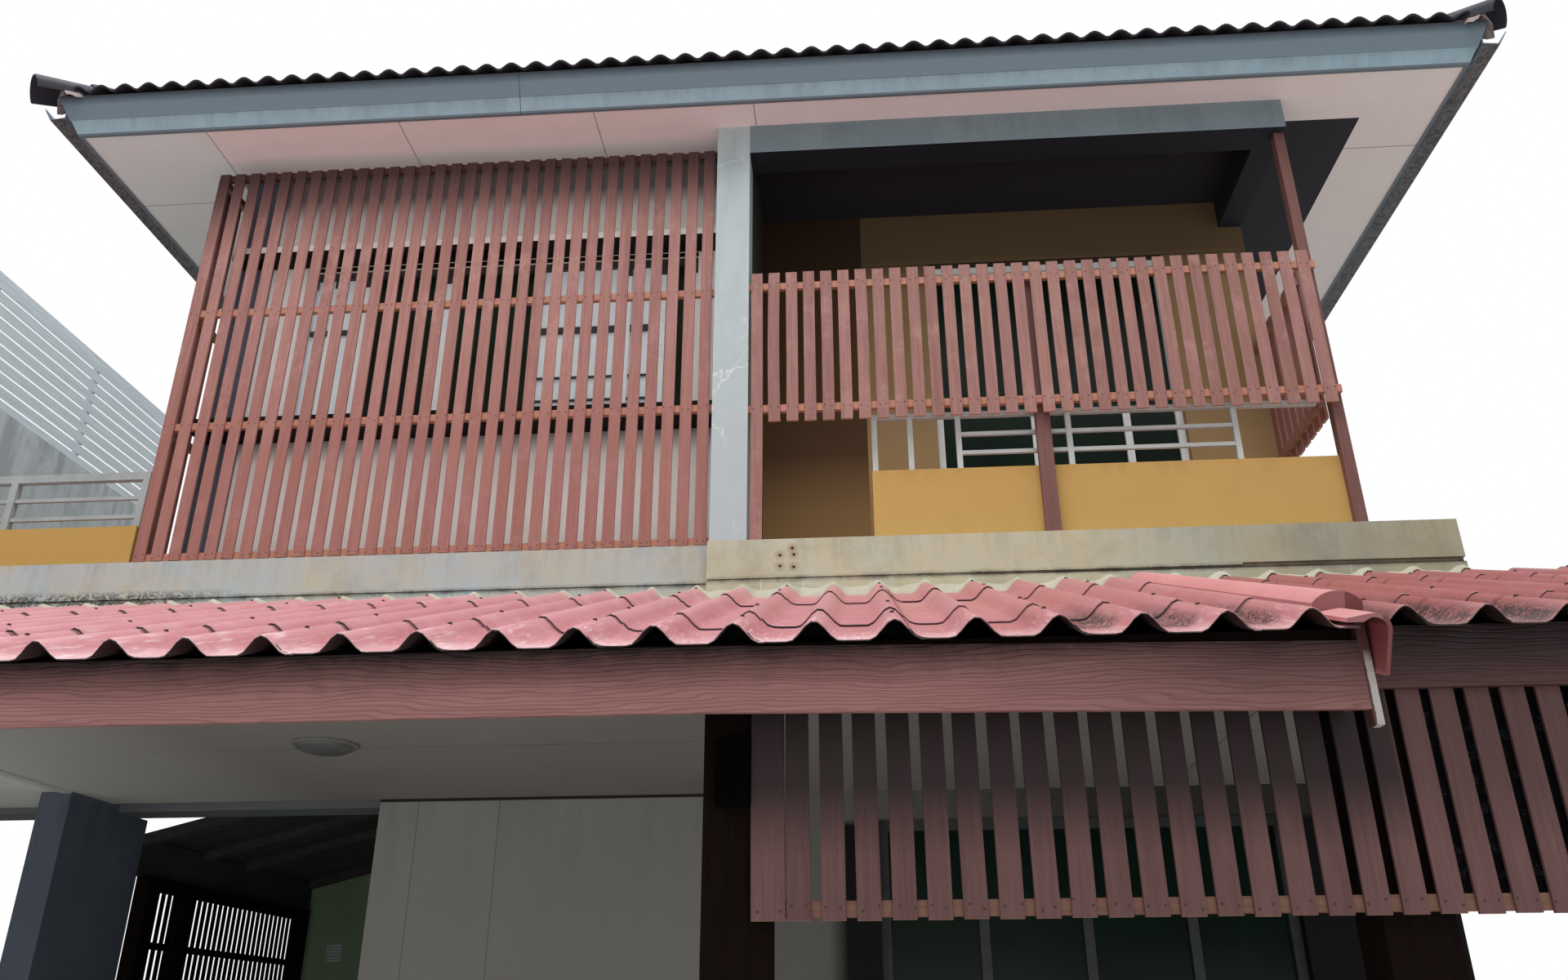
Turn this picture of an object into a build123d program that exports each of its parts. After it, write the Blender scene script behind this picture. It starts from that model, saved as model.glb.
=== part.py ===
from build123d import *
import math
import os

# Semi-detached two-storey house with a slat screen, a recessed balcony and a lean-to carport roof.
# Millimetres. +X to the right along the front, +Y into the house, +Z up.
# Origin: at ground level, under the middle of the main roof, on the front face of the tall slat screen.

os.makedirs("parts", exist_ok=True)

# Levels, measured up from the ground
GROUND_FLOOR_TOP = 150
LEAN_TO_EAVE_HEIGHT = 2587
CARPORT_CEILING = LEAN_TO_EAVE_HEIGHT + 33
EDGE_BEAM_BOTTOM = 3400
EDGE_BEAM_BACK = 200
LEDGE_TOP = 3940
LEDGE_GROOVE = LEDGE_TOP - 224
GROOVE_DEPTH = 12
GROOVE_HEIGHT = 8
UPPER_FLOOR_TOP = LEDGE_TOP - 40
TERRACE_FLOOR_TOP = 3700
SOFFIT = 6715
FLOOR_THICKNESS = 150
BOARD = 10

# Plan of the house body
BODY_LEFT = -3330
BODY_RIGHT = 3210
BODY_BACK = 6400
WALL = 150
LOWER_FRONT = -60
LOWER_LEFT = -1820
SCREEN_LEFT = -3430
COLUMN_LEFT = -220
COLUMN_WIDTH = 200
COLUMN_DEPTH = 200
COLUMN_RIGHT = COLUMN_LEFT + COLUMN_WIDTH
BEAM_JOINT = COLUMN_LEFT - 10
ROOM_WALL_FRONT = 280
BALCONY_DEPTH = 930
LEDGE_RIGHT = 3620
OPEN_GROOVE_LEFT = 2520
OPEN_GROOVE = (-6, 20)

# Party wall at the left boundary
PARTY_WALL_FACE = -5830
PARTY_WALL_THICKNESS = 100
PARTY_WALL_FRONT = -2440
PARTY_WALL_BACK = 4000
PARTY_WALL_TOP = 5870
PARTY_WALL_SHELF = 20
YARD_OPENING = (2000, 3800)
FENCE_BOARD = 78
FENCE_PITCH = 97
FENCE_BOARDS = 10
FENCE_POST = 40

# Slat screens
SLAT = 75
SLAT_PITCH = 100.5
SLAT_THICKNESS = 16
BATTEN = 45
BATTEN_THICKNESS = 30
ROOM_SLATS = 1 + int((COLUMN_LEFT - SCREEN_LEFT - SLAT) / SLAT_PITCH)
ROOM_SCREEN_TOP = SOFFIT - 128
ROOM_BATTENS = (LEDGE_TOP + 5, LEDGE_TOP + 816, LEDGE_TOP + 1587, ROOM_SCREEN_TOP - BATTEN)
BALCONY_FIRST_SLAT = COLUMN_RIGHT + 110
BALCONY_SLATS = 1 + int((BODY_RIGHT - BALCONY_FIRST_SLAT - SLAT) / SLAT_PITCH)
BALCONY_SCREEN_BOTTOM = LEDGE_TOP + 705
BALCONY_SCREEN_TOP = LEDGE_TOP + 1685
BALCONY_BATTENS = (BALCONY_SCREEN_BOTTOM + 67, BALCONY_SCREEN_TOP - 108)
BALCONY_SCREEN_FRONT = -50
LOWER_SCREEN_FRONT = -2350
LOWER_SCREEN_TOP = CARPORT_CEILING - 20
LOWER_SCREEN_BOTTOM = LOWER_SCREEN_TOP - 755
LOWER_BATTENS = (LOWER_SCREEN_BOTTOM + 11, LOWER_SCREEN_TOP - 100)
LOWER_SCREEN_LEFT = 230
WIDE_BOARD = 100
SHADE_NET = 3

# Openings for windows and sliding doors: left, right, bottom, top
ROOM_WINDOW = (-2880, -370, UPPER_FLOOR_TOP + 1060, SOFFIT - 685)
HOOD = (SOFFIT - 680, SOFFIT - 588)
SILL = (UPPER_FLOOR_TOP + 890, UPPER_FLOOR_TOP + 965)
BALCONY_DOOR = (1095, 2650, UPPER_FLOOR_TOP, SOFFIT - 405)
LOWER_DOOR = (620, 2520, GROUND_FLOOR_TOP, CARPORT_CEILING - 135)
FRAME = 45
FRAME_DEPTH = 60
FRAME_SET_BACK = 60
STILE_INSET = 5
GLASS = 6

# Main roof
ROOF_PITCH = math.radians(25)
SOFFIT_HALF_WIDTH = 4225
SOFFIT_FRONT = -285
SOFFIT_BACK = 7000
FASCIA_BOTTOM = SOFFIT - 8
FASCIA_STEP = FASCIA_BOTTOM + 90
FASCIA_TOP = FASCIA_STEP + 132
FASCIA_THICKNESS = 20
UPPER_BOARD_STEP = 8
TILE_OVERHANG = 37
TILE_BED = 28
TILE_WAVE = 32
TILE_PITCH = 153
TILE_SHAPE = ((0, 0), (0.35, 1), (0.65, 1))
CAP_RADIUS = 95
CAP_SIDES = 12
CAP_END = 80
CAP_TAPER = 32
CAP_SINK = 40

# Lean-to roof over the carport: wave-profile sheets on a slope
WAVE_PITCH = 235.1
WAVE_HEIGHT = 58
WAVE_WIDTH = 139
SHEET = 6
FIRST_CREST = -1917.6
LEAN_TO_EAVE = -2607
LEAN_TO_TOP = -64
LEAN_TO_SLOPE = math.atan(0.3958)
COURSE_LAPS = (0, 700, 1960)
COURSE_OVERLAP = 60
VERGE = 1976
VERGE_END = VERGE + 20
VERGE_HOOK = 240
RIGHT_START = VERGE + 86
RIGHT_SET_BACK = 150
RIGHT_END = 4120
RIGHT_FIRST_CREST = 1935
RIGHT_ROOF_DROP = 10
RAFTER = 50
RAFTER_PANS = (-16, -9, -2, 5, 12, 15)
RIGHT_RAFTER_PANS = (1, 5, 8)
SEAT = 0.3
FASCIA_BOARD = 200
RIGHT_FASCIA_BOARD = 190
FASCIA_FALL = 30
LEAN_TO_FASCIA_FRONT = -2520
LEAN_TO_FASCIA_BOTTOM = CARPORT_CEILING - 210
RIGHT_FASCIA_BOTTOM = CARPORT_CEILING - 143
EAVE_BEAM = 150
RIGHT_BEAM = 130
POST = 200
MIDDLE_POST_LEFT = 80


def block(x0, x1, y0, y1, z0, z1):
    """A square-edged block between two opposite corners."""
    return Pos((x0 + x1) / 2, (y0 + y1) / 2, (z0 + z1) / 2) * Box(x1 - x0, y1 - y0, z1 - z0)


def profile_along_x(points, x0, x1):
    """A solid with a cross-section of (y, z) points, between two x positions."""
    face = Plane.YZ * make_face(Polyline(*points, close=True))
    return Pos(x0, 0, 0) * extrude(face, x1 - x0)


def profile_along_y(points, y0, y1):
    """A solid with a cross-section of (x, z) points, between two y positions."""
    face = Plane.XZ * make_face(Polyline(*points, close=True))
    return Pos(0, y0, 0) * extrude(face, y0 - y1)


def save(name, *solids):
    """Writes one named piece of the house."""
    export_step(Compound(label=name, children=list(solids)) if len(solids) > 1 else solids[0],
                f"parts/{name}.step")


# Ground floor

def ground_slab():
    """Concrete floor of the ground storey, one step above the ground."""
    return block(LOWER_LEFT, BODY_RIGHT, LOWER_FRONT, BODY_BACK, 0, GROUND_FLOOR_TOP)


def wall_with_opening(x0, x1, y0, y1, z0, z1, opening):
    """A wall along the front with one rectangular opening cut through it."""
    left, right, bottom, top = opening
    return block(x0, x1, y0, y1, z0, z1) - block(left, right, y0 - 1, y1 + 1, bottom, top)


def lower_front_wall():
    return wall_with_opening(LOWER_LEFT, BODY_RIGHT, LOWER_FRONT, LOWER_FRONT + WALL,
                             GROUND_FLOOR_TOP, EDGE_BEAM_BOTTOM, LOWER_DOOR)


def lower_side_wall(x0):
    """Side wall of the ground storey, notched at the top for the edge beam."""
    front, back, top = LOWER_FRONT + WALL, BODY_BACK - WALL, UPPER_FLOOR_TOP - FLOOR_THICKNESS
    points = [(front, GROUND_FLOOR_TOP), (back, GROUND_FLOOR_TOP), (back, top),
              (EDGE_BEAM_BACK, top), (EDGE_BEAM_BACK, EDGE_BEAM_BOTTOM), (front, EDGE_BEAM_BOTTOM)]
    return profile_along_x(points, x0, x0 + WALL)


def lower_back_wall():
    return block(LOWER_LEFT, BODY_RIGHT, BODY_BACK - WALL, BODY_BACK,
                 GROUND_FLOOR_TOP, UPPER_FLOOR_TOP - FLOOR_THICKNESS)


# Side passage under the left of the upper storey

PIER = 150
PIER_LEFT = BODY_LEFT - 10
PIER_FRONT = -400
PIER_BACK = 270
REAR_PIER = 300
WINDOW_PIER = 220
HEADER_BOTTOM = CARPORT_CEILING - 30
PASSAGE_FRONT = 450
PASSAGE_END = 2600
END_WALL = 100
PASSAGE_POST = 80
PASSAGE_POSTS = (510, 900, 2430)
PASSAGE_SLAT = 32
PASSAGE_SLAT_THICKNESS = 8
PASSAGE_SLAT_FOOT = 30
PASSAGE_PITCH = 60
PASSAGE_RAIL = 35
PASSAGE_RAIL_DEPTH = 20
PASSAGE_RAILS = (300, 1983)
PASSAGE_EAVE_BOARD = 190
PASSAGE_BOARD = 40
PASSAGE_EAVE = CARPORT_CEILING - 90
PASSAGE_SLOPE = 0.25
PASSAGE_SHEET = 12
PASSAGE_RAFTERS = (450, 1100, 1600, 2550)


def corner_piers():
    """Dark piers that carry the left side of the upper storey, and the one beside the window wall."""
    floor = UPPER_FLOOR_TOP - FLOOR_THICKNESS
    front = block(PIER_LEFT, PIER_LEFT + PIER, PIER_FRONT, 0, 0, CARPORT_CEILING)
    front += block(PIER_LEFT, PIER_LEFT + PIER, 0, PIER_BACK, 0, HEADER_BOTTOM)
    rear = block(BODY_LEFT, BODY_LEFT + PIER, BODY_BACK - REAR_PIER, BODY_BACK, 0, floor)
    upper = block(BODY_LEFT, BODY_LEFT + WINDOW_PIER, ROOM_WALL_FRONT - BOARD,
                  ROOM_WALL_FRONT + WALL, UPPER_FLOOR_TOP, SOFFIT)
    return front, rear, upper


def passage_panel(y0, y1, top):
    """Thin upright slats on three level rails, between two posts."""
    back = PIER_LEFT + PIER / 2
    levels = [(z, z + PASSAGE_RAIL) for z in PASSAGE_RAILS] + [(top - 2 * PASSAGE_RAIL, top)]
    panel = [block(back - PASSAGE_RAIL_DEPTH, back, y0, y1, z0, z1) for z0, z1 in levels]
    count = int((y1 - y0) / PASSAGE_PITCH)
    for k in range(count):
        y = y0 + (y1 - y0) * (k + 0.5) / count
        panel.append(block(back, back + PASSAGE_SLAT_THICKNESS, y - PASSAGE_SLAT / 2,
                           y + PASSAGE_SLAT / 2, PASSAGE_SLAT_FOOT, top))
    return panel


def passage_screen():
    """Screen along the outer side of the passage: three posts and two panels of slats."""
    top = PASSAGE_EAVE - PASSAGE_EAVE_BOARD
    solids = [block(BODY_LEFT, BODY_LEFT + PASSAGE_POST, y, y + PASSAGE_POST, 0, top)
              for y in PASSAGE_POSTS]
    for a, b in zip(PASSAGE_POSTS, PASSAGE_POSTS[1:]):
        solids += passage_panel(a + PASSAGE_POST, b, top)
    return solids


def sloping_board(x0, x1, y0, y1, under, over):
    """A board on the passage roof's slope, between two heights over the sheet's underside."""
    z0, z1 = (PASSAGE_EAVE + PASSAGE_SLOPE * (x - PIER_LEFT) for x in (x0, x1))
    return profile_along_y([(x0, z0 + under), (x1, z1 + under), (x1, z1 + over), (x0, z0 + over)],
                           y0, y1)


def passage_roof():
    """Sheet roof over the side passage on flat rafters, falling to a deep board at the left."""
    board_back = PIER_LEFT + PASSAGE_BOARD
    solids = [sloping_board(PIER_LEFT, LOWER_LEFT, PASSAGE_FRONT, PASSAGE_END, 0, PASSAGE_SHEET),
              block(PIER_LEFT, board_back, PASSAGE_FRONT, PASSAGE_END,
                    PASSAGE_EAVE - PASSAGE_EAVE_BOARD, PASSAGE_EAVE)]
    for y in PASSAGE_RAFTERS:
        solids.append(sloping_board(board_back, LOWER_LEFT, y, y + RAFTER, -RAFTER, 0))
    return solids


def passage_end_wall():
    """Green wall across the end of the side passage."""
    return block(BODY_LEFT, LOWER_LEFT, PASSAGE_END, PASSAGE_END + END_WALL, 0,
                 UPPER_FLOOR_TOP - FLOOR_THICKNESS)


# Party wall

def party_wall():
    """Wall on the boundary, open to the yard under the terrace.

    Its top follows the lean-to roof in front and rises beside the terrace."""
    shelf = LEAN_TO_EAVE_HEIGHT - PARTY_WALL_SHELF
    run = PARTY_WALL_FRONT - LEAN_TO_EAVE
    front_top = shelf + run * math.tan(LEAN_TO_SLOPE)
    back_top = front_top + (0 - PARTY_WALL_FRONT) * math.tan(LEAN_TO_SLOPE)
    points = [(PARTY_WALL_FRONT, 0), (PARTY_WALL_BACK, 0), (PARTY_WALL_BACK, PARTY_WALL_TOP),
              (0, PARTY_WALL_TOP), (0, back_top), (PARTY_WALL_FRONT, front_top)]
    left = PARTY_WALL_FACE - PARTY_WALL_THICKNESS
    opening = block(left - 1, PARTY_WALL_FACE + 1, *YARD_OPENING, -1,
                    TERRACE_FLOOR_TOP - FLOOR_THICKNESS)
    return profile_along_x(points, left, PARTY_WALL_FACE) - opening


def party_wall_fence():
    """Level boards on posts along the top of the party wall, under a steel top rail."""
    front = PARTY_WALL_FACE - PARTY_WALL_THICKNESS / 2
    back = front - FENCE_POST
    top = PARTY_WALL_TOP + FENCE_BOARDS * FENCE_PITCH
    fence = block(back, front, 0, PARTY_WALL_BACK, top, top + FRAME)
    for k in range(4):
        y = FENCE_POST + k * (PARTY_WALL_BACK - 3 * FENCE_POST) / 3
        fence += block(back, front, y, y + FENCE_POST, PARTY_WALL_TOP, top)
    for k in range(FENCE_BOARDS):
        z = PARTY_WALL_TOP + BOARD + k * FENCE_PITCH
        fence += block(front, front + BOARD, 0, PARTY_WALL_BACK, z, z + FENCE_BOARD)
    return fence


# Floors and edge beams of the upper storey

def edge_beam(x0, x1, front, back):
    """Concrete beam whose top is the ledge, with a groove along its face."""
    beam = block(x0, x1, front, back, EDGE_BEAM_BOTTOM, LEDGE_TOP)
    return beam - block(x0 - 1, x1 + 1, front - 1, front + GROOVE_DEPTH, LEDGE_GROOVE,
                        LEDGE_GROOVE + GROOVE_HEIGHT)


def edge_beam_left():
    """Left beam, deepened over the carport and the passage to close the roof space behind."""
    header = block(PARTY_WALL_FACE, LOWER_LEFT, 0, EDGE_BEAM_BACK, HEADER_BOTTOM, EDGE_BEAM_BOTTOM)
    return edge_beam(PARTY_WALL_FACE, BEAM_JOINT, 0, EDGE_BEAM_BACK) + header


def edge_beam_right():
    """Right beam, a little forward of the left one. Its groove stands open at the right."""
    beam = edge_beam(BEAM_JOINT, LEDGE_RIGHT, LOWER_FRONT, EDGE_BEAM_BACK)
    return beam - block(OPEN_GROOVE_LEFT, LEDGE_RIGHT + 1, LOWER_FRONT - 1,
                        LOWER_FRONT + 2 * GROOVE_DEPTH, LEDGE_GROOVE + OPEN_GROOVE[0],
                        LEDGE_GROOVE + OPEN_GROOVE[1])


def upper_floors():
    """Floor of the upper storey, and the lower one of the terrace beside it."""
    z = UPPER_FLOOR_TOP - FLOOR_THICKNESS
    house = block(BODY_LEFT, BODY_RIGHT, EDGE_BEAM_BACK, BODY_BACK, z, UPPER_FLOOR_TOP)
    terrace = block(PARTY_WALL_FACE, BODY_LEFT, EDGE_BEAM_BACK, PARTY_WALL_BACK,
                    TERRACE_FLOOR_TOP - FLOOR_THICKNESS, TERRACE_FLOOR_TOP)
    return house, terrace


PARAPET_THICKNESS = 100
TERRACE_PARAPET_TOP = LEDGE_TOP + 223
TERRACE_RIGHT = SCREEN_LEFT - 20
TERRACE_TOP_RAIL = (LEDGE_TOP + 520, LEDGE_TOP + 567)
TERRACE_RAILS = (LEDGE_TOP + 284, LEDGE_TOP + 400)
TERRACE_BAYS = 3
RAIL_POST = 40
RAIL_FRONT = 30
THIN_RAIL = 22


def terrace_parapet():
    """Low ochre wall on the ledge in front of the terrace."""
    return block(PARTY_WALL_FACE, TERRACE_RIGHT, BOARD, BOARD + PARAPET_THICKNESS, LEDGE_TOP,
                 TERRACE_PARAPET_TOP)


def terrace_railing():
    """Steel railing on the terrace parapet: a deep top rail over two thin ones."""
    front, back = RAIL_FRONT, RAIL_FRONT + RAIL_POST
    railing = block(PARTY_WALL_FACE, TERRACE_RIGHT, front, back, *TERRACE_TOP_RAIL)
    for z in TERRACE_RAILS:
        railing += block(PARTY_WALL_FACE, TERRACE_RIGHT, front + BOARD, back - BOARD,
                         z, z + THIN_RAIL)
    for k in range(TERRACE_BAYS + 1):
        x = PARTY_WALL_FACE + k * (TERRACE_RIGHT - RAIL_POST - PARTY_WALL_FACE) / TERRACE_BAYS
        railing += block(x, x + RAIL_POST, front, back, TERRACE_PARAPET_TOP, TERRACE_TOP_RAIL[0])
    return railing


# Room behind the tall slat screen

HOOD_FRONT = 160
SILL_FRONT = 80


def room_front_wall():
    """Window wall with its cast hood and sill, which run on in front of the pier beside it."""
    left = BODY_LEFT + WINDOW_PIER
    wall = wall_with_opening(left, COLUMN_LEFT, ROOM_WALL_FRONT, ROOM_WALL_FRONT + WALL,
                             UPPER_FLOOR_TOP, SOFFIT, ROOM_WINDOW)
    for front, (z0, z1) in ((HOOD_FRONT, HOOD), (SILL_FRONT, SILL)):
        wall += block(BODY_LEFT, COLUMN_LEFT, front, ROOM_WALL_FRONT - BOARD, z0, z1)
        wall += block(left, COLUMN_LEFT, ROOM_WALL_FRONT - BOARD, ROOM_WALL_FRONT, z0, z1)
    return wall


def upper_side_walls():
    z0, z1 = UPPER_FLOOR_TOP, SOFFIT
    left = block(BODY_LEFT, BODY_LEFT + WALL, ROOM_WALL_FRONT + WALL, BODY_BACK - WALL, z0, z1)
    right = block(BODY_RIGHT - WALL, BODY_RIGHT, BALCONY_DEPTH + WALL, BODY_BACK - WALL, z0, z1)
    return left, right


def upper_back_wall():
    return block(BODY_LEFT, BODY_RIGHT, BODY_BACK - WALL, BODY_BACK, UPPER_FLOOR_TOP, SOFFIT)


# Column and balcony

BALCONY_BEAM_BOTTOM = SOFFIT - 208
DARK_CEILING_RIGHT = 3750
PARAPET_LEFT = 658
PARAPET_TOP = LEDGE_TOP + 425
PARAPET_FRONT = 40
END_POST = 60
MIDDLE_POST = 80
BALCONY_RAIL = 30
BALCONY_RAIL_FRONT = PARAPET_FRONT + 20
RAIL_INSET = 5
BALCONY_RAIL_TOP = LEDGE_TOP + 780
BALCONY_THIN_RAILS = (LEDGE_TOP + 520, LEDGE_TOP + 634)
BALCONY_RAIL_POSTS = (663, 861, 1127, 1732, 2632)


def front_column():
    return block(COLUMN_LEFT, COLUMN_RIGHT, LOWER_FRONT, LOWER_FRONT + COLUMN_DEPTH,
                 LEDGE_TOP, SOFFIT)


def balcony_beam():
    """Beam from the column across the balcony, turned back to the house at its right end."""
    z0, z1 = BALCONY_BEAM_BOTTOM, SOFFIT
    front = block(COLUMN_RIGHT, BODY_RIGHT, LOWER_FRONT, LOWER_FRONT + COLUMN_DEPTH, z0, z1)
    side = block(BODY_RIGHT - WALL, BODY_RIGHT, LOWER_FRONT + COLUMN_DEPTH, BALCONY_DEPTH, z0, z1)
    return front + side


def balcony_side_wall():
    """Wall between the room and the balcony, behind the column."""
    wall = block(COLUMN_RIGHT - WALL, COLUMN_RIGHT, LOWER_FRONT + COLUMN_DEPTH, BALCONY_DEPTH,
                 LEDGE_TOP, SOFFIT)
    return wall + block(COLUMN_RIGHT - WALL, COLUMN_RIGHT, EDGE_BEAM_BACK, BALCONY_DEPTH,
                        UPPER_FLOOR_TOP, LEDGE_TOP)


def balcony_back_wall():
    return wall_with_opening(COLUMN_RIGHT - WALL, BODY_RIGHT, BALCONY_DEPTH, BALCONY_DEPTH + WALL,
                             UPPER_FLOOR_TOP, SOFFIT, BALCONY_DOOR)


def balcony_parapet():
    """Ochre parapet along the front, returned along the open right side."""
    right = BODY_RIGHT - END_POST
    back = PARAPET_FRONT + PARAPET_THICKNESS
    front = block(PARAPET_LEFT, right, PARAPET_FRONT, back, LEDGE_TOP, PARAPET_TOP)
    side = block(right - PARAPET_THICKNESS, right, back, BALCONY_DEPTH, LEDGE_TOP, PARAPET_TOP)
    foot = block(right - PARAPET_THICKNESS, right, EDGE_BEAM_BACK, BALCONY_DEPTH,
                 UPPER_FLOOR_TOP, LEDGE_TOP)
    return front + side + foot


def balcony_railing():
    """Steel railing on the parapet. The two low rails run only from the third post on."""
    y0 = BALCONY_RAIL_FRONT
    y1 = y0 + BALCONY_RAIL
    posts = BALCONY_RAIL_POSTS
    low = BALCONY_RAIL_TOP - BALCONY_RAIL
    railing = block(posts[0], BODY_RIGHT - END_POST - PARAPET_THICKNESS / 2, y0, y1, low,
                    BALCONY_RAIL_TOP)
    for x in posts:
        railing += block(x, x + BALCONY_RAIL, y0, y1, PARAPET_TOP, low)
    for z in BALCONY_THIN_RAILS:
        railing += block(posts[2] + BALCONY_RAIL, posts[4], y0 + RAIL_INSET,
                         y1 - RAIL_INSET, z, z + THIN_RAIL)
    return railing


def balcony_posts():
    """Brown posts behind the hanging screen: one in the middle and one at the right end."""
    back = BALCONY_SCREEN_FRONT + SLAT_THICKNESS + BATTEN_THICKNESS
    left = (COLUMN_RIGHT + BODY_RIGHT) / 2 + 5
    middle = block(left - MIDDLE_POST / 2, left + MIDDLE_POST / 2, back, back + MIDDLE_POST / 2,
                   LEDGE_TOP, BALCONY_SCREEN_TOP - END_POST)
    end = block(BODY_RIGHT - END_POST, BODY_RIGHT, back, back + END_POST, LEDGE_TOP,
                BALCONY_BEAM_BOTTOM)
    return middle, end


# Slat screens

def slat_row(first, count, front, z0, z1, battens, left, right):
    """Upright slats facing the front, nailed to level battens. Each board is a solid of its own."""
    back = front + SLAT_THICKNESS
    boards = [block(left, right, back, back + BATTEN_THICKNESS, z, z + BATTEN) for z in battens]
    for k in range(count):
        x = first + k * SLAT_PITCH
        boards.append(block(x, x + SLAT, front, back, z0, z1))
    return boards


def room_slat_screen():
    return slat_row(SCREEN_LEFT, ROOM_SLATS, 0, LEDGE_TOP + 3, ROOM_SCREEN_TOP, ROOM_BATTENS,
                    SCREEN_LEFT, COLUMN_LEFT)


def balcony_slat_screen():
    """Hanging screen across the balcony. The board beside the column runs down to the ledge."""
    boards = slat_row(BALCONY_FIRST_SLAT, BALCONY_SLATS, BALCONY_SCREEN_FRONT,
                      BALCONY_SCREEN_BOTTOM, BALCONY_SCREEN_TOP, BALCONY_BATTENS, COLUMN_RIGHT,
                      BODY_RIGHT)
    left = BALCONY_FIRST_SLAT - SLAT_PITCH
    boards.append(block(left, left + SLAT, BALCONY_SCREEN_FRONT,
                        BALCONY_SCREEN_FRONT + SLAT_THICKNESS, LEDGE_TOP, BALCONY_SCREEN_TOP))
    return boards


SIDE_SLATS = 3
SIDE_FIRST_SLAT = 30
SIDE_RAIL = 30
SIDE_RAIL_END = 60
SIDE_RAIL_DEPTH = 40
BALCONY_SIDE = BODY_RIGHT - 40
BALCONY_SIDE_GAP = 5


def outer_side_screen():
    """Three slats outside the tall screen, on rails that turn back to the pier."""
    back = SLAT_THICKNESS + BATTEN_THICKNESS
    end = ROOM_WALL_FRONT + SIDE_RAIL_END
    rails = []
    for z in ROOM_BATTENS:
        rails.append(block(SCREEN_LEFT, SCREEN_LEFT + SIDE_RAIL, back, end, z, z + BATTEN))
        rails.append(block(SCREEN_LEFT + SIDE_RAIL, BODY_LEFT, end - SIDE_RAIL_DEPTH, end,
                           z, z + BATTEN))
    screen = rails[0]
    for rail in rails[1:]:
        screen += rail
    for k in range(SIDE_SLATS):
        y = SIDE_FIRST_SLAT + k * SLAT_PITCH
        screen += block(SCREEN_LEFT - SLAT_THICKNESS, SCREEN_LEFT, y, y + SLAT, LEDGE_TOP + 3,
                        ROOM_SCREEN_TOP)
    return screen


def balcony_side_screen():
    """Slats along the open right side of the balcony, as many as its depth holds."""
    right = BALCONY_SIDE
    front = PARAPET_FRONT + PARAPET_THICKNESS
    count = 1 + int((BALCONY_DEPTH - front - SLAT) / SLAT_PITCH)
    screen = block(right - BATTEN_THICKNESS, right, front, BALCONY_DEPTH, BALCONY_BATTENS[0],
                   BALCONY_BATTENS[0] + BATTEN)
    screen += block(right - BATTEN_THICKNESS, right, front, BALCONY_DEPTH, BALCONY_BATTENS[1],
                    BALCONY_BATTENS[1] + BATTEN)
    for k in range(count):
        y = front + BALCONY_SIDE_GAP + k * SLAT_PITCH
        screen += block(right, right + SLAT_THICKNESS, y, y + SLAT, BALCONY_SCREEN_BOTTOM,
                        BALCONY_SCREEN_TOP)
    return screen


def lower_slat_screen():
    """Hanging screen under the lean-to eave: a wide board, slats to the right end, and a net.

    The black shade net closes the right-hand bay behind the slats, fixed to the battens."""
    first = LOWER_SCREEN_LEFT + WIDE_BOARD
    count = int((RIGHT_END - first) / SLAT_PITCH)
    boards = slat_row(first, count, LOWER_SCREEN_FRONT, LOWER_SCREEN_BOTTOM, LOWER_SCREEN_TOP,
                      LOWER_BATTENS, LOWER_SCREEN_LEFT, RIGHT_END)
    boards.append(block(LOWER_SCREEN_LEFT, first, LOWER_SCREEN_FRONT,
                        LOWER_SCREEN_FRONT + SLAT_THICKNESS, LOWER_SCREEN_BOTTOM,
                        LOWER_SCREEN_TOP))
    back = LOWER_SCREEN_FRONT + SLAT_THICKNESS + BATTEN_THICKNESS
    boards.append(block(VERGE_END + POST, RIGHT_END - POST, back, back + SHADE_NET,
                        LOWER_BATTENS[0], CARPORT_CEILING - RIGHT_BEAM))
    return boards


# Windows and sliding doors

def sliding_frame(opening, wall_front, stiles):
    """Outer frame of an opening, set back in its wall, with upright stiles between the panes."""
    left, right, bottom, top = opening
    y0 = wall_front + FRAME_SET_BACK
    y1 = y0 + FRAME_DEPTH
    frame = block(left, right, y0, y1, bottom, top)
    frame -= block(left + FRAME, right - FRAME, y0 - 1, y1 + 1, bottom + FRAME, top - FRAME)
    for x in stiles:
        frame += block(x - FRAME / 2, x + FRAME / 2, y0 + STILE_INSET, y1 - STILE_INSET,
                       bottom + FRAME, top - FRAME)
    return frame


# Opening, front face of its wall, and the middles of its stiles
ROOM_FRAME = (ROOM_WINDOW, ROOM_WALL_FRONT, (-2695, -2510, -1970, -1390, -820, -600))
BALCONY_FRAME = (BALCONY_DOOR, BALCONY_DEPTH, (1720, 2300))
LOWER_FRAME = (LOWER_DOOR, LOWER_FRONT, (1095, 1570, 2045))


def glass_panes():
    """One sheet of glass between each two stiles of the three frames."""
    panes = []
    for opening, wall_front, stiles in (ROOM_FRAME, BALCONY_FRAME, LOWER_FRAME):
        left, right, bottom, top = opening
        lefts = [left + FRAME] + [x + FRAME / 2 for x in stiles]
        rights = [x - FRAME / 2 for x in stiles] + [right - FRAME]
        y = wall_front + FRAME_SET_BACK + (FRAME_DEPTH - GLASS) / 2
        for a, b in zip(lefts, rights):
            panes.append(block(a, b, y, y + GLASS, bottom + FRAME, top - FRAME))
    return panes


# Main roof

def inside_of_slope(level, margin):
    """Corners of the roof's rectangle at a height, on a slope line that starts at the soffit edge."""
    out = (level - FASCIA_BOTTOM) * math.tan(ROOF_PITCH) - margin
    return (-SOFFIT_HALF_WIDTH - out, SOFFIT_HALF_WIDTH + out, SOFFIT_FRONT - out, SOFFIT_BACK + out)


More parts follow.
